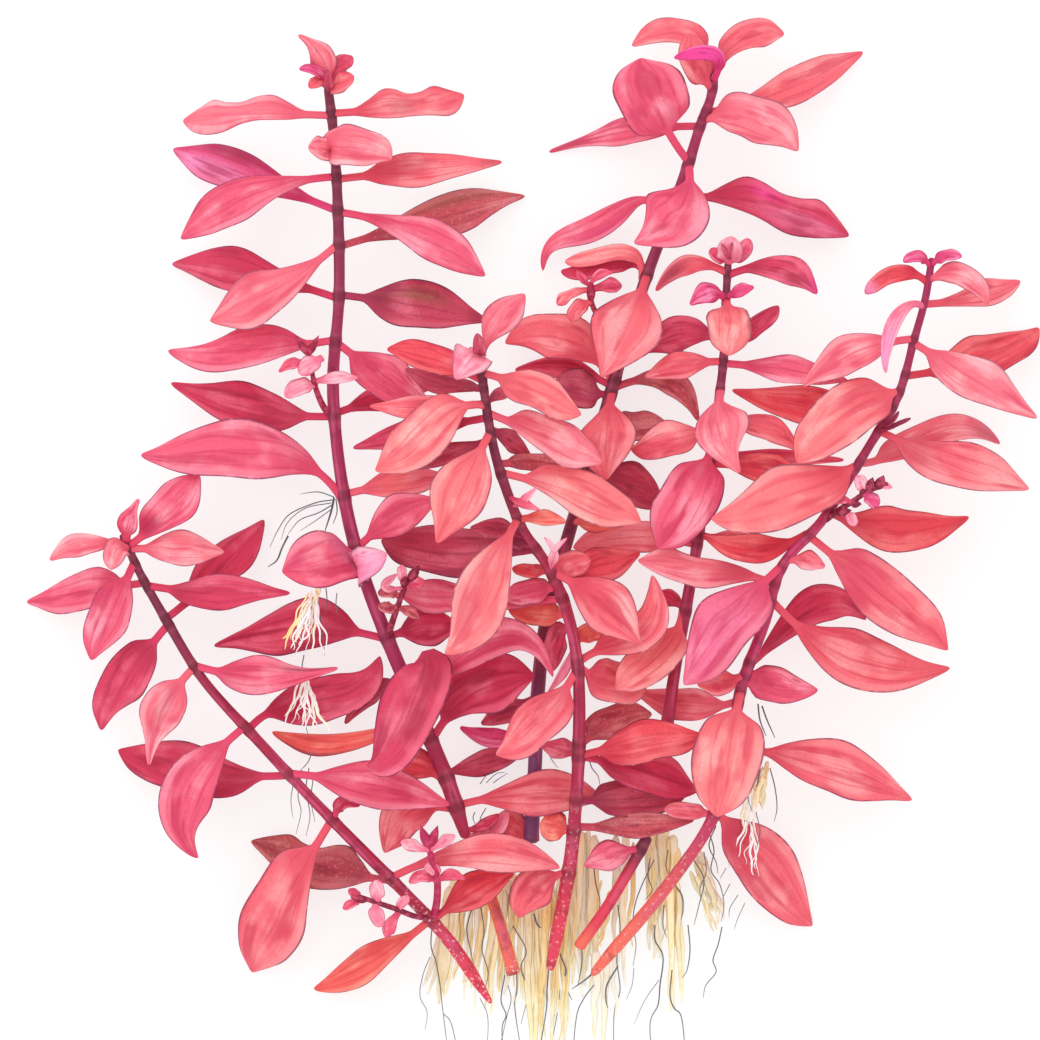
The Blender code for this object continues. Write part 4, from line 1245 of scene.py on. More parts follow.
STEMS = [
    Stem("left_tall", places("328 86 17, 334 140 17, 338 212 17, 339 297 17, 333 390 16, "
                             "343 490 15, 362 570 14.5, 388 640 14, 418 710 13.3, 447 780 12.6, "
                             "466 838 12"),
         (9, 16), StemFinish.of("PLUM BURGUNDY WINE"), 0.6, leaves=table(Leaf, """
1 SALMON HOOK 27: 328 78, 321 56 19, 298 35 20
2 MAGENTA BROAD 11: 327 78, 314 70 21, 299 69 22
2b CRIMSON BROAD 18: 329 76, 340 66 18, 353 57 17
2c CORAL BROAD 13: 328 86, 318 82 20, 309 88 21
2d CORAL BROAD 20: 330 86, 343 82 21, 354 76 22
3* SALMON SPOON WAVY 39: 331 115, 245 115 18, 183 121 12
4 CORAL WAVY PADDLE 36: 332 113, 400 107 18, 464 95 13; DEEP 0.42 0.13 -0.1 0.8 0.38
5 SALMON BROAD 24: 335 152, 322 149 21, 308 147 22
5b SALMON BROAD PLAIN 42: 335 152, 334 148 21, 360 149 23, 391 160 23; 0.05
6 CORAL EARLY 35: 337 178, 420 170 16, 502 162 12; DEEP 0.3 0.2 0.3 0.6 0.4;
    DEEP 0.93 0.1 0 2 0.35
7 MAGENTA LATE 44: 338 209, 245 175 8, 173 149 0.5; LILAC 0.75 0.35 0.3 0.5 0.8;
    DEEP 0.6 0.32 -0.8 0.4 0.7
8* ROSE LATE 44: 337 176, 265 190 18, 181 239 14
9* ROSE LATE 42: 338 212, 415 233 18, 485 276 16
10 RUST LATE LATE_HOOK 44: 340 246, 378 235 12, 460 213 6, 525 196 1; OLIVE 0.6 0.3 0.7 0.3 0.5
11* SALMON LATE 52: 340 247, 278 288 19, 210 321 17
12 CRIMSON PLAIN LATE 44: 339 298, 245 273 9, 172 264 0.5
13* MAROON PLAIN EARLY 51: 339 295, 410 305 15, 488 321 12; OLIVE 0.45 0.22 0.45 0.3 0.55;
    BROWN 0.12 0.12 0.2 0.5 0.6; DEEP 0.95 0.12 0 2 0.6
14* ROSE LATE HOOK 46: 336 342, 250 350 16.5, 168 351 12
15 ROSE PLAIN BROAD 44: 336 343, 380 374 16, 430 404 15
16* CRIMSON EARLY PLAIN 46: 334 415, 260 411 11, 171 383 6
17 CRIMSON 26: 334 412, 370 402 12, 430 388 8
18* ROSE 60: 344 497, 300 462 17, 235 451 17, 141 455 11
19 SALMON 32: 344 495, 405 482 14, 450 476 12; FLAME 0.3 0.3 0 1 0.5
20 ROSE 40: 356 548, 400 515 17, 440 500 18
21* ROSE BROAD 56: 357 552, 325 560 22, 282 572 24; 0.04; LILAC 0.05 0.25 0 2 0.6;
    CHERRY 0.85 0.12 -0.3 0.3 0.7
21b PALE BROAD 34: 352 570, 367 563 23.6, 387 553 23.6; 0.03; LILAC 0.5 0.8 0 2 0.5
22 CRIMSON PLAIN HOOK 54: 386 637, 300 628 10.5, 214 646 7
23 CRIMSON 42: 388 637, 425 628 13, 460 625 12
24 MAROON 22: 404 683, 376 690 8, 345 724 5
25* CRIMSON BROAD PLAIN 60: 404 682, 424 664 21, 410 710 24, 367 765 22
26* CRIMSON BROAD LATE 58: 430 738, 480 690 16, 535 676 16
27 ROSE 38: 408 692, 450 665 18, 510 636 21, 553 677 19.5
28 CORAL LATE PLAIN 46: 458 806, 530 794 10.5, 604 800 9.8
29 ORANGE LATE FLAT 30: 422 716, 345 741 11, 272 732 8; DEEP 0.7 0.4 0.95 0.2
30 RED 34: 446 777, 425 768 13, 385 764 12
31 CORAL BROAD PLAIN 44: 458 808, 405 815 10, 385 853 8
2e MAROON BROAD 9: 328 90, 328 80 22, 327 69 23
32 PALE BROAD 20: 464 836, 484 836 8.6, 508 811 8.4
33 CRIMSON LATE 12: 462 832, 482 826 9.2, 499 814 9.2
""")),
    Stem("low_left", places("122 534 14, 141 575 14.3, 168 623 14.8, 205 682 15, 262 745 14.6, "
                            "310 797 14, 360 848 13, 405 893 12, 450 942 10.3, 491 1003 8"),
         (8, 13), StemFinish.of("PLUM WINE EMBER", 0.55), 0.35, leaves=table(Leaf, """
1 ROSE HOOK 21: 125 542, 129 520 17, 139 499 18
2 ROSE BROAD LATE 42: 130 546, 168 512 16.5, 199 474 15.5; DEEP 0.15 0.15 0 0.6
3 SALMON PLAIN LATE 24: 126 546, 80 545 16, 50 560 15
4 SALMON BROAD 24: 130 548, 117 550 18, 111 570 19
5 SALMON 36: 130 550, 185 549 16, 224 552 14
6 ROSE PLAIN EARLY 42: 144 583, 85 592 8, 27 602 0.5
7* ROSE PLAIN BROAD 42: 137 563, 112 612 17, 91 660 16
8 CRIMSON PLAIN LATE 42: 166 619, 200 590 11, 235 553 6, 264 520 2
9 CRIMSON PLAIN HOOK 36: 148 587, 230 594 17, 290 593 16
10* CRIMSON HOOK BROAD 46: 169 625, 128 678 12, 101 730 6
11 SALMON HOOK 45: 196 667, 163 710 16, 149 765 15; DEEP 0.35 0.45 0 0.35 0.35
12 ROSE HOOK 38: 196 667, 270 677 18.5, 338 668 19; DEEP 0.8 0.3 0.6 0.3
13* ROSE 54: 245 726, 205 765 17, 183 805 17, 198 858 14
15 CRIMSON BROAD LATE 50: 288 774, 205 772 8, 118 750 3
16* ROSE 46: 290 775, 378 787 17, 450 805 17
17* CORAL LATE BROAD 66: 332 820, 292 888 12, 252 972 1
18 CRIMSON BROAD 14: 333 819, 346 802 16, 360 806 17
19 RUST PLAIN WAVY 50: 392 877, 325 868 6, 251 841 3; DEEP 0.3 0.3 0 1.2 0.3;
    OLIVE 0.9 0.25 0 2 0.3
20 CORAL LATE 38: 392 878, 485 853 16, 560 868 16; BLUSH 0.6 0.35 -0.6 0.4 0.6
21 ORANGE LATE PLAIN 34: 430 920, 375 960 7, 314 989 1.5
22 RED 36: 434 918, 475 891 12.5, 514 873 11.5
23 CRIMSON PLAIN BROAD 46: 250 728, 290 706 11, 335 697 10, 380 656 11
""")),
    Stem("back", places("714 50 12, 712 92 12, 699 130 12, 688 165 12, 670 215 11, 646 278 10, "
                        "625 345 9, 600 430 8, 570 530 7, 548 610 6.5, 538 690 6.2, 535 765 6, "
                        "531 843 6"),
         (9, 15), StemFinish.of("BURGUNDY PLUM INK"), leaves=table(Leaf, """
1 CORAL FLAT BROAD 34: 713 66, 690 40 10, 632 46 6
2 CORAL BROAD LATE 32: 718 72, 742 40 11, 784 34 7
3 CORAL BROAD 32: 712 88, 698 66 15, 690 33 16
3b MAGENTA BROAD 16: 716 80, 715 56 18, 674 58 20; CORNER_PINK 0.6 0.6 0 2 0.9
4* ROSE BROAD 72: 688 160, 672 138 15, 655 105 16, 641 58 14; 0.32
5 ROSE HOOK 28: 699 127, 640 130 6, 549 152 0.5; DEEP 0.85 0.2 0 1.5 0.5
6 CORAL LATE PLAIN 38: 706 112, 800 84 5, 863 52 0.5
7 SALMON BROAD PLAIN 48: 703 118, 748 118 15, 798 151 13; 0.05
8* ROSE 66: 688 166, 683 205 16, 634 243 17
9 ROSE 27: 669 213, 632 204 9, 600 226 6.5, 566 238 5, 543 271 3; CHERRY 0.42 0.3 0.7 0.6 0.85
10* CRIMSON WAVY LATE 46: 706 206, 775 207 8, 849 236 3; CORNER_PINK 0.4 0.12 0.6 0.4 0.6;
    LILAC 0.65 0.35 -0.4 0.5 0.3
11 PEACH BROAD 17: 645 281, 634 256 10, 605 255 9, 565 261 8
12* CORAL 70: 646 276, 628 325 15.5, 601 377 16.5; BLUSH 0.45 0.3 -0.35 0.35 0.6;
    BLUSH 0.6 0.3 0.75 0.25 0.5
13 CORAL PLAIN BROAD 46: 614 380, 560 338 7.5, 505 343 6
14 CRIMSON 24: 613 386, 560 368 4, 515 370 3
15 MAROON BROAD 38: 609 395, 580 390 10, 552 384 10; DEEP 0.5 0.6 0 2 0.35
16 CORAL PLAIN LATE 60: 610 394, 607 430 13, 606 480 14
17 MAROON PLAIN BROAD 40: 588 470, 630 483 5, 664 507 4
18 RUST 26: 613 385, 675 385 8.5, 698 421 7.5
19 RUST BROAD 30: 603 424, 634 427 6, 666 422 5; BLUSH 0.7 0.4 0 0.7 0.4
20 ORANGE 24: 571 522, 600 521 13, 634 521 14
22 MAROON 24: 537 698, 505 712 7, 481 724 6
23 MAGENTA 20: 536 733, 490 738 8, 460 727 8
24 MAROON 26: 535 750, 490 762 6, 448 772 5
11b CRIMSON BROAD FLAT 25: 646 274, 628 262 7.6, 596 266 7, 561 271 6; DEEP 0.7 0.4 -0.8 0.3 0.6
26 CORAL BROAD 38: 532 842, 514 832 6.2, 492 826 6
""")),
    Stem("front", places("479 348 30, 484 390 29, 492 440 28, 503 480 27, 522 528 25.6, "
                         "550 570 24, 568 615 22.6, 578 670 21, 579 740 18, 576 800 15, "
                         "569 870 12, 550 970 8"),
         (8, 14), StemFinish.of("PLUM WINE EMBER", 0.35), 0.6, leaves=table(Leaf, """
1 SALMON PLAIN LATE 36: 481 352, 497 325 32, 525 294 33
2 PALE HEART 40: 482 350, 472 358 33, 455 379 34
3 RED PLAIN BROAD 30: 482 380, 445 364 27, 387 349 24
4* PEACH PLAIN BROAD 38: 482 374, 540 393 30, 581 415 28
5 MAROON LATE FLAT 30: 483 389, 455 384 22, 405 369 19
5b MAROON 14: 485 402, 501 394 26, 515 388 24
6* PEACH PLAIN BROAD 50: 486 405, 462 407 31, 425 436 31, 375 470 30
7 CORAL 24: 484 404, 425 408 27, 370 406 24
7b CRIMSON 30: 488 417, 425 430 21, 353 448 15
8 SALMON BROAD LATE 40: 488 414, 545 437 26, 602 463 23
8b MAROON 20: 491 430, 512 442 23, 530 455 20
9* PEACH 58: 491 433, 464 485 33, 437 543 32
10 MAROON 20: 492 440, 455 452 25, 405 469 22
11* PEACH BROAD LATE 46: 501 474, 575 494 25, 641 522 22
11b RUST BROAD 18: 499 465, 535 463 21, 580 467 18
12* PEACH LATE PLAIN 56: 518 520, 508 538 30, 484 595 33, 445 654 31
12b MAROON 22: 526 536, 500 530 23, 470 528 21
12c MAROON BROAD 50: 535 548, 440 552 14, 381 540 9
13* CORAL 52: 552 574, 598 600 25, 640 645 23; BLUSH 0.7 0.25 0.5 0.35 0.75;
    EMBER 0.15 0.3 0 1.5 0.5
14 CORAL BROAD PLAIN 46: 578 672, 545 715 22, 496 755 22
14b PALE 10: 577 645, 566 668 18, 548 692 17
15* RED PLAIN BROAD 42: 579 754, 640 743 19, 703 735 18
16 ORANGE 16: 520 520, 543 518 27, 566 522 27
18 RED 36: 553 576, 600 566 18, 640 553 14
19 CORAL BROAD PLAIN 36: 577 662, 600 650 20, 638 635 20, 652 575 18
20 CORAL BROAD 42: 578 668, 600 680 17, 648 682 12; EMBER 0.4 0.6 0 2 0.4
25 ROSE 22: 579 755, 558 749 13, 540 745 12
26 CRIMSON LATE BROAD 42: 579 757, 640 770 12, 697 792 9
27 RUST BROAD PLAIN 36: 579 745, 610 726 13, 652 714 11
28 MAROON BROAD 38: 576 800, 635 799 7.5, 688 792 5
29 RUST 25: 574 826, 635 826 11, 694 820 11
30 ORANGE BROAD 30: 573 832, 557 828 13, 540 823 13
31 CORAL PLAIN BROAD 40: 568 872, 541 884 12.5, 519 918 12
33 PALE 8: 516 505, 527 497 30, 537 487 31
34 ROSE 10: 510 498, 524 504 30, 540 510 30
35 PALE BROAD 6: 551 567, 554 550 28, 544 537 28.5
36 PALE BROAD 6: 551 567, 555 550 28, 567 538 28.5
2b MAROON BROAD 13: 481 352, 479 345 35, 477 333 35
17 ROSE PADDLE 34: 560 600, 470 600 14, 398 593 12
37 ROSE BROAD 25: 556 588, 533 592 20, 504 597 19
38 ORANGE BROAD 24: 568 614, 540 615 17, 508 609 16
39 CRIMSON BROAD 24: 572 628, 556 642 15.5, 552 672 15
41 ORANGE BROAD 20: 574 642, 588 634 19, 604 627 18
42 CORAL BROAD 27: 552 573, 569 566 21.5, 591 560 21
43 RED BROAD 14: 546 572, 528 571 21, 512 568 20
44 MAROON BROAD 24: 531 546, 520 540 25, 509 536 24; PLUM 0.5 0.7 0 2 0.9
""")),
    Stem("middle", places("729 248 16, 726 300 15.7, 723 365 15, 713 440 14.4, 703 510 13.8, "
                          "690 585 13, 675 670 12.3, 667 725 12"),
         (7, 13), StemFinish.of("PLUM BURGUNDY WINE"), leaves=table(Leaf, """
1 ROSE BROAD 14: 728 260, 718 256 17, 711 248 17
1b ROSE BROAD 16: 729 260, 741 254 17, 748 238 17
1c PALE BROAD 26: 729 262, 730 250 20, 731 236 21
2 CORAL 20: 728 272, 695 264 17, 656 291 15; DEEP 0.75 0.35 0 1
3 CRIMSON LATE PLAIN 30: 728 275, 780 268 17, 817 294 14; CORNER_PINK 0.95 0.12 0 2 0.6
4 MAGENTA 22: 726 298, 708 293 19, 690 305 19
4b MAGENTA 14: 726 297, 742 290 18, 754 287 18
5* PEACH BROAD 44: 726 300, 729 328 21, 729 356 22
6 CRIMSON FLAT BROAD 26: 724 345, 757 322 13, 779 306 12
7 CRIMSON 38: 724 340, 680 335 11, 641 353 9
8 CORAL 28: 723 362, 685 365 14.5, 645 377 14
9 ROSE 28: 723 363, 785 370 15, 848 381 14
10* SALMON HOOK PLAIN 54: 720 390, 722 428 20, 740 473 21
11 CORAL 26: 715 426, 775 432 14, 800 452 13
11b CORAL BROAD PLAIN 36: 714 430, 668 440 13, 631 450 11; EMBER 0.55 0.7 0.5 0.45 0.6;
    BLUSH 0.5 0.5 -0.6 0.3 0.5
11c ROSE 16: 711 455, 790 458 8.5, 844 460 7.5
12* ROSE BROAD 58: 711 455, 686 505 18, 658 549 18.5; 0.05
13 CORAL 30: 699 535, 735 545 14.5, 765 560 14
13b SALMON BROAD 32: 697 545, 625 538 10.5, 573 548 10; BLUSH 0.5 0.5 0 0.6 0.4
13c RED 34: 710 463, 765 470 14, 815 490 12.5
15 PEACH BROAD 42: 690 612, 672 640 14, 648 665 17, 616 689 19.5
16 CRIMSON 18: 686 608, 670 599 11, 653 594 10
1d MAROON BROAD 6: 729 255, 724 249 22.5, 721 243 23
1e MAROON BROAD 6: 730 254, 731 248 22.5, 733 242 23
""")),
    Stem("right", places("932 258 17, 925 300 17.6, 914 340 18, 898 396 18.7, 868 448 19.5, "
                         "824 518 20, 783 565 19.4, 765 622 18.6, 742 685 17.4, 732 740 16.3, "
                         "714 815 14.2, 668 885 12, 592 975 8"),
         (7, 13), StemFinish.of("BURGUNDY BERRY FLAME", 0.3), 0.6, leaves=table(Leaf, """
1 MAGENTA BROAD 12: 930 265, 919 257 19, 903 262 20
2 MAGENTA BROAD 12: 932 264, 945 256 19, 962 257 20
3 RED BROAD 17: 927 282, 905 273 18, 884 279 17, 865 294 16; LILAC 0.95 0.2 0 2
4 SALMON BROAD PLAIN 24: 931 279, 962 276 20, 988 305 20; 0.06
5 CORAL LATE 27: 924 304, 975 297 10, 1020 281 2
6 PALE 15: 922 306, 897 318 24, 887 345 24.5, 886 373 24; LILAC 0.8 0.4 0 2
7 SALMON 38: 914 340, 850 355 19, 803 386 17.5
8* SALMON PLAIN EARLY 46: 913 343, 971 378 21, 1037 418 19; 0.1
9 RED PLAIN BROAD 44: 905 376, 985 357 9, 1039 328 0.5
10* PEACH BROAD 54: 898 391, 845 415 22, 797 463 22; 0.04; EMBER 0.08 0.3 0 2 0.5
11 RED 38: 890 408, 790 404 11, 732 390 10
12* CORAL LATE EARLY 52: 880 430, 952 463 21, 1029 489 18; 0.1; BLUSH 0.85 0.3 0 1.2 0.5;
    DEEP 0.1 0.22 0 2 0.3
13 SALMON BROAD PLAIN 30: 862 462, 900 450 12, 950 430 6, 1000 444 2; DEEP 0.93 0.14 0 1.3 0.5
14* PEACH BROAD PLAIN 58: 853 467, 785 498 22.5, 711 519 21; 0.03; EMBER 0.05 0.3 0 2 0.6
14b RED 30: 808 536, 755 550 18, 703 535 17.5
15 RED 46: 828 512, 895 531 13, 969 517 7; 0.08
16* CORAL BROAD PLAIN 56: 808 536, 878 592 21, 948 650 19; CHERRY 0.22 0.2 0 1.5 0.5
17* ROSE BROAD PLAIN 60: 781 568, 730 620 24, 684 685 23.5; LILAC 0.6 0.5 0 1.2 0.3
17b SALMON 20: 788 558, 808 561 21, 825 567 21
18* CORAL 56: 773 602, 857 661 15, 950 668 10
19 CRIMSON LATE 38: 752 662, 788 627 12, 828 603 10, 866 620 8
20 ROSE HEART 38: 746 678, 780 687 17, 818 690 16; 0.05
20b CORAL 30: 745 676, 720 682 19.5, 697 684 19.5
21* PEACH BROAD 67: 741 692, 728 755 22, 717 817 23
22 CORAL 54: 731 748, 832 768 13, 912 800 9; 0.17
23 CORAL PLAIN BROAD 60: 716 812, 766 866 7, 812 926 0.5; 0.05; DEEP 0.05 0.2 0 2 0.6
24 SALMON 34: 738 702, 680 705 8.4, 632 690 8
25 MAROON BROAD 5: 884 428, 893 420 22, 899 411 23; PLUM 0.5 1 0 2 0.9
25b MAROON BROAD 5: 880 432, 898 424 22, 911 418 23; PLUM 0.5 1 0 2 0.9
14c SALMON PLAIN PADDLE 36: 776 585, 745 575 16.5, 700 570 16.5, 638 560 17; DEEP 0.2 0.15 0 2 0.3
26 SALMON BROAD 17: 714 815, 692 812 12.8, 664 809 12
""")),
    Stem("short_left", places("487 885 7.5, 500 925 7.8, 514 975 8"),
         (11, 13), StemFinish.of("FLAME FLAME FLAME", 0.5)),
    Stem("short_right", places("648 836 10, 628 872 10, 605 910 9, 578 948 8"),
         (11, 12), StemFinish.of("PLUM EMBER FLAME"), leaves=table(Leaf, """
1 ROSE 30: 640 850, 612 855 12, 584 866 12
""")),
]

SHOOTS = [
    SideShoot("shoot_left_upper", places("327 412 17, 321 402 18.4, 315 386 20.3, 312 372 20.6, "
                                         "308 353 20.8"),
              (7, 4), table(Leaf, """
1 PALE BROAD 17: 317 385 20, 303 386 21, 285 397 21
2 PALE 13: 313 382 20, 336 378 21, 358 378 20.6
3 PALE BROAD 18: 322 358 20.6, 311 364 21.6, 299 374 21.4
4 ROSE EARLY 12: 304 362 20.6, 294 363 21.2, 279 372 21
"""), table(Bud, """
8: 310 357 20.8, 295 335 21
8: 307 357 20.8, 319 335 21
""")),
    SideShoot("shoot_left_lower", places("388 636 15, 393 620 17.6, 400 600 18.6, 407 582 19"),
              (7, 5), table(Leaf, """
1 RUST BROAD 12: 399 597 18.4, 390 592 19.4, 378 594 19
2 RUST 12: 398 608 18, 409 611 19, 419 619 18.6
3 PALE BROAD 9: 403 588 18.8, 385 587 19.6, 397 574 19.2
4 PALE BROAD 10: 405 583 18.9, 402 574 19.6, 402 565 19
5 ROSE BROAD 12: 407 586 18.9, 415 583 19.6, 424 580 19
6 RUST BROAD 12: 397 606 18.2, 389 608 19, 379 604 18.6
"""), table(Bud, """
10: 408 583 19.2, 420 564 19.4
9: 404 588 19.4, 405 575 19.6
"""), pigment("801030")),
    SideShoot("shoot_back", places("620 350 9.6, 604 326 11.4, 592 304 12, 591 282 12.6"),
              (6, 5), table(Leaf, """
1 CORAL PADDLE 13: 589 290 12.2, 576 292 13, 557 305 12.6
2 CRIMSON LATE 16: 593 289 12.4, 606 286 13, 622 286 12.6
3 ROSE 10: 590 285 12.5, 599 275 13, 613 273 12.8
4 CORAL BROAD 16: 591 302 12.2, 580 307 13, 571 322 12.6
5 CRIMSON 9: 590 286 12.5, 583 279 13, 577 270 12.8
"""), table(Bud, """
9: 591 303 12.4, 591 280 13
""")),
    SideShoot("shoot_right", places("826 520 20, 842 508 22, 852 502 22.4, 862 495 22.6, "
                                    "873 489 22.8, 888 484 23"),
              (6, 5), table(Leaf, """
1 PALE BROAD 11: 846 512 22, 851 518 22.6, 855 526 22.4
2 PALE BROAD 13: 863 494 22.4, 862 485 23, 856 476 22.8
3 MAGENTA BROAD 14: 864 494 22.6, 871 499 23.2, 878 507 22.8
4 PALE 7: 880 487 22.8, 886 486 23.2, 892 488 22.9
5 ROSE 9: 852 503 22.4, 843 500 22.8, 835 504 22.4
"""), table(Bud, """
10: 868 492 22.8, 873 477 23.1
11: 877 490 22.8, 884 475 23.1
8: 850 504 22.6, 862 504 22.8
9: 836 514 22, 852 510 22.4
8: 866 497 22.4, 860 486 22.8
"""), pigment("7c1634")),
    SideShoot("shoot_low_upper", places("434 916 11.5, 437 900 14, 437 878 17.6, 432 862 18.4, "
                                        "429 846 19"),
              (8, 6), table(Leaf, """
1 ROSE BROAD 12: 437 882 17, 424 876 18.2, 409 883 18
2 ROSE 12: 437 882 17, 450 875 18.2, 465 879 18
3 PALE BROAD 12: 438 878 17.6, 433 869 18.6, 424 868 18.6
4 PALE LATE 13: 430 850 18.8, 416 847 19.4, 401 841 19
5 PALE LATE 12: 430 850 18.8, 442 843 19.4, 455 835 19
"""), table(Bud, """
10: 430 850 19, 420 825 19.2
10: 429 850 19, 438 825 19.2
"""), pigment("b01c50")),
    SideShoot("shoot_low_side", places("430 918 11.5, 414 916 14.2, 396 909 15.6, 378 903 16, "
                                       "360 897 16.2"),
              (6, 5), table(Leaf, """
1 PALE BROAD 10: 396 909 15, 402 903 16, 409 896 15.8
2 ROSE LATE 14: 400 911 15, 392 922 16, 386 938 15.6
3 PALE BROAD 15: 378 902 15.8, 377 891 16.6, 376 880 16.2
4 PALE BROAD 15: 376 903 15.8, 376 913 16.6, 383 926 16.2
5 CRIMSON BROAD 9: 362 899 16, 355 894 16.6, 349 889 16.2
6 ROSE BROAD 9: 362 900 16, 353 903 16.6, 343 909 16.2
"""), table(Bud, """
8: 368 901 16.4, 350 897 16.6
"""), pigment("801638")),
]

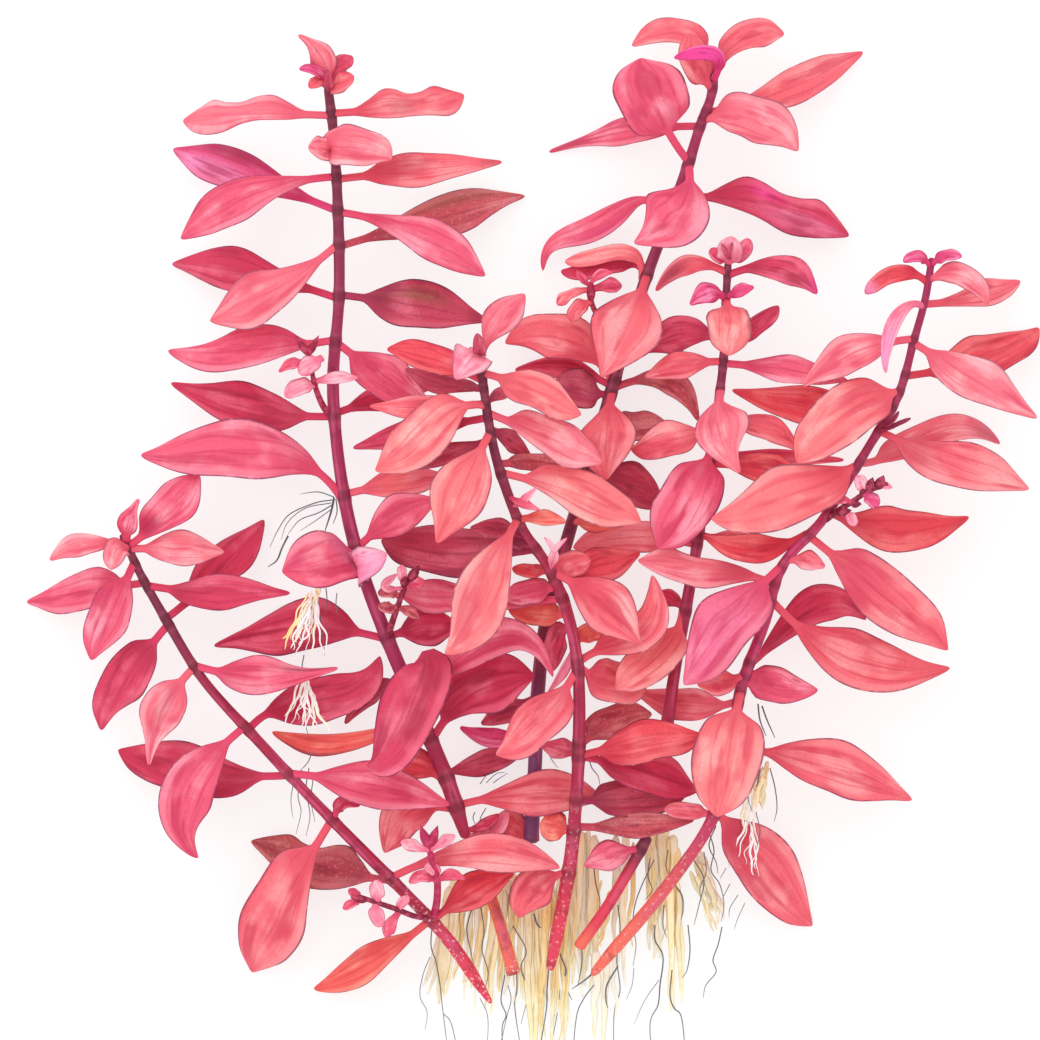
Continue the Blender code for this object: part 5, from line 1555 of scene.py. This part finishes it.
ROOTS = [
    RootTuft("roots_far_left", table(Bundle, """
CREAM 7 14 22: 466 882 3.6, 448 1000 0.6
OCHRE 6 12 13 0.25: 462 884 4.4, 440 1008 0.8
AMBER 4 10 16 0.5: 468 890 4.8, 464 985 0.8
"""), table(Thread, """
5 1: 433 918, 431 945, 436 962, 440 985, 443 1012, 451 1075
3 0.3 0.7: 430 957, 423 975, 420 996, 427 1012, 425 1030
2 0.3 0.7: 444 1014, 452 1026, 462 1075
5 2: 474 902, 467 928, 470 948, 474 966
8.5 8 0.8: 475 812, 473 818, 476 826
8.5 8 0.8: 486 808, 480 820, 482 834, 480 846
8.5 8 0.8: 497 818, 491 826, 489 836
""")),
    RootTuft("roots_left", table(Bundle, """
CREAM 9 20 24: 500 880 4, 490 1020 0.6
OCHRE 9 20 24 0.45: 505 880 4.8, 498 1015 1
AMBER 7 20 22 0.5: 500 890 5.2, 494 1000 1.2
"""), table(Thread, """
6 2: 480 903, 484 930, 482 950, 488 972, 485 990
3 0.3: 505 975, 501 1000, 506 1015, 502 1030, 505 1074
3 0.3: 516 965, 517 990, 515 1010, 525 1074
6 1: 513 926, 526 950, 521 968, 528 992, 521 1024
2 0.3 0.7: 508 985, 511 1000, 506 1020, 495 1070
2 0.3 0.6: 480 998, 488 1020, 485 1070
8 8 0.7: 480 784, 487 775, 497 770
8 8 0.7: 486 783, 496 774, 505 772
8 8 0.7: 493 783, 500 778, 508 773
""")),
    RootTuft("roots_middle", table(Bundle, """
CREAM 7 10 20: 584 834 4, 590 990 0.6
OCHRE 6 10 14: 586 834 4.8, 580 1000 1
OCHRE 9 20 16 0.4: 545 884 4.6, 546 1080 0.8
CREAM 6 22 28 0.4: 552 884 4, 568 1072 0.6
AMBER 8 22 20 0.5: 568 900 5.4, 555 1070 1.4
"""), table(Thread, """
6 1 1.3: 560 954, 566 970, 564 982, 572 1000
6 2 1.5: 594 972, 585 980, 572 989
6 2 1.2: 581 940, 582 962, 578 985
3 0.3: 594 985, 583 1000, 576 1020, 571 1080
5 1 1.2: 549 966, 547 990, 546 1012, 536 1070
5 3 1.4: 534 914, 537 924, 541 928
3 0.3 0.7: 560 990, 557 1015, 546 1072
9 9 0.8: 548 752, 552 760, 558 768
9 9 0.9: 588 756, 592 768, 598 776, 600 786
""")),
    RootTuft("roots_right", table(Bundle, """
OCHRE 5 10 11 0.2: 678 880 4.6, 679 1016 0.8
CREAM 9 30 34: 640 838 4, 640 990 0.6
OCHRE 6 12 18 0.4: 662 832 5, 664 930 1.6
CREAM 4 10 14 0.4: 606 940 3, 602 1070 0.6
AMBER 4 8 8 0.3: 604 890 5, 592 955 2
AMBER 6 24 18 0.5: 655 850 5.4, 650 970 1.4
"""), table(Thread, """
7 4: 594 868, 596 885, 600 902, 597 918
6 0.3: 618 905, 620 930, 617 960, 620 990, 614 1015, 614 1074
5 2 1.4: 618 966, 607 985, 606 1000, 608 1008
8 2: 654 860, 642 885, 635 905, 633 925, 636 945, 633 966
2 0.3 0.6: 634 968, 632 985, 626 1000
6 0.3 1.2: 655 925, 655 940, 663 957, 660 985, 658 1005, 650 1025, 654 1076
6 3: 664 905, 663 925, 667 938
8 4 1.3: 674 884, 682 896, 683 910, 681 920
4 0.3 1.2: 672 970, 670 995, 674 1008, 682 1020, 687 1078
2 0.3 0.6: 659 980, 645 1000, 634 1024
5 3: 688 925, 690 950, 687 970, 682 978
8 5: 650 858, 648 876, 652 890, 645 900
8 5: 668 850, 666 866, 671 880
""")),
    RootTuft("roots_far_right", table(Bundle, """
OCHRE 4 6 9 0.3: 692 866 4.6, 718 930 0.8
CREAM 5 8 14 0.4: 696 860 4, 712 930 0.6
"""), table(Thread, """
4 0.3: 722 927, 718 945, 713 960, 716 972, 706 985, 703 998
7 3: 694 860, 704 880, 699 905, 694 925
9 3: 716 826, 709 845, 716 862, 718 874
9 3: 708 830, 714 850, 711 870, 720 885, 724 905, 721 922
8 3 0.8: 704 852, 706 872, 700 888, 701 900
5 2 0.7: 726 868, 720 879
5 2 0.7: 730 884, 722 899
4 1 0.7: 738 895, 730 908, 729 918
4 1 0.6: 745 903, 738 918, 734 930
""")),
    RootTuft("roots_of_left_stem", [], table(Thread, """
14 12 0.9: 334 497, 318 492, 300 494
14 9: 332 500, 315 503, 290 514, 278 530, 270 547
14 10: 332 505, 318 513, 300 520, 288 534
14 11 0.8: 333 508, 318 519, 300 531
11 8.2 1.6: 288 536, 282 548, 277 560, 268 567
14 11 1.8: 334 498, 331 512, 325 531
14 11: 336 499, 337 512, 333 524
14 9 0.8: 331 503, 306 508, 288 522, 281 540
""")),
    RootTuft("aerial_roots_left", table(Bundle, """
OCHRE 5 3 5 0.3 0.4: 316 588 16.4, 314 616 16
AMBER 4 4 6 0.3 0.5: 308 602 16.2, 280 652 15.6
CREAM 6 4 18 0.4 0.4: 313 602 16.2, 302 656 15.6
WHITE 9 4 22 0.5: 314 600 16.4, 308 658 15.8
WHITE 9 3 26 0.4: 306 684 15.2, 308 734 14.4
CREAM 5 3 26 0.4 0.35: 307 684 15, 306 732 14.2
"""), table(Thread, """
16 15.8 0.9: 326 588, 327 600, 326 612
16 15.8 0.8: 337 593, 336 603, 337 614
16 15 0.8: 318 600, 322 630, 325 656
15 13 0.9: 304 655, 302 670, 306 690
15 12 0.8: 309 690, 304 715, 310 742
14 12 0.9: 312 752, 308 762, 300 771
14 9 0.8: 302 770, 298 795, 301 812, 296 834
14 9 0.9: 309 768, 306 790, 310 815, 306 836
14 9 0.8: 313 780, 311 800, 315 822
14 10 0.7: 294 780, 291 800, 293 818
""")),
    RootTuft("aerial_roots_right", table(Bundle, """
OCHRE 6 7 8 0.3 0.6: 764 768 12.4, 758 812 11.8
AMBER 4 6 7 0.4: 766 768 12.4, 762 806 11.8
CREAM 6 5 6 0.3 0.5: 752 786 12, 747 832 11.6
WHITE 8 5 20 0.3: 750 822 11.8, 746 876 11
"""), table(Thread, """
13.6 12.6 1.3: 758 704, 760 720, 766 736
13.6 12.6 1.3: 762 706, 767 720, 775 738
12.6 11.8: 770 768, 775 788, 777 808, 774 822
12.6 11.8 0.8: 760 770, 757 788, 761 806
12.6 11.8 0.8: 752 776, 748 796, 752 812
12.4 11.4 0.8: 756 812, 760 832, 756 850
""")),
]


@dataclass(frozen=True)
class Studio:
    """Pale floor, soft light and the eye above the sheet."""

    floor_half: float = 8.0
    floor_grey: float = 0.35
    floor_glow: float = 0.66
    lens: float = 300.0
    sensor: float = 36.0
    light_size: float = 1.3
    light_power: float = 4.5
    light_place: tuple[float, float, float] = (-0.5, 0.6, 1.1)
    light_turn: tuple[float, float] = (-26.0, -24.0)
    sky: float = 1.06

    def build(self) -> None:
        """Makes the floor, the lights and the camera."""
        self.lay_floor()
        self.light()
        self.set_camera()
        bpy.context.scene.view_settings.view_transform = "Standard"

    def lay_floor(self) -> None:
        """A wide square of pale paper just under the bunch."""
        half = self.floor_half
        mesh = bpy.data.meshes.new("floor")
        mesh.from_pydata([(-half, -half, 0), (half, -half, 0), (half, half, 0), (-half, half, 0)],
                         [], [(0, 1, 2, 3)])
        tree = ShaderTree("floor paper", 0.95, 0.1)
        tree.shader.inputs["Base Color"].default_value = (*[self.floor_grey] * 3, 1)
        tree.shader.inputs["Emission Color"].default_value = (1, 1, 1, 1)
        tree.shader.inputs["Emission Strength"].default_value = self.floor_glow
        mesh.materials.append(tree.material)
        floor = placed("floor", mesh)

    def light(self) -> None:
        """A white sky all round and one large soft lamp above the upper left."""
        world = bpy.data.worlds.new("sky")
        world.use_nodes = True
        background = world.node_tree.nodes["Background"]
        background.inputs["Color"].default_value = (1, 1, 1, 1)
        background.inputs["Strength"].default_value = self.sky
        bpy.context.scene.world = world
        lamp = bpy.data.lights.new("soft lamp", "AREA")
        lamp.size = self.light_size
        lamp.energy = self.light_power
        holder = placed("soft lamp", lamp)
        holder.location = self.light_place
        holder.rotation_euler = (*map(math.radians, self.light_turn), 0)

    def set_camera(self) -> None:
        """The eye looks straight down on the middle of the sheet, with the shoot tips upwards."""
        camera = bpy.data.cameras.new("eye")
        camera.lens = self.lens
        camera.sensor_width = self.sensor
        eye = placed("eye", camera)
        eye.location = (*Sheet.centre(), Sheet.eye_height)
        bpy.context.scene.camera = eye


def main() -> None:
    """Builds every sub-assembly of the bunch and the studio around it."""
    logging.basicConfig(level=logging.INFO, format="%(name)s: %(message)s")
    for stem in STEMS:
        stem.build()
    for shoot in SHOOTS:
        shoot.build()
    for tuft in ROOTS:
        tuft.build()
    Studio().build()


if __name__ == "__main__":
    main()
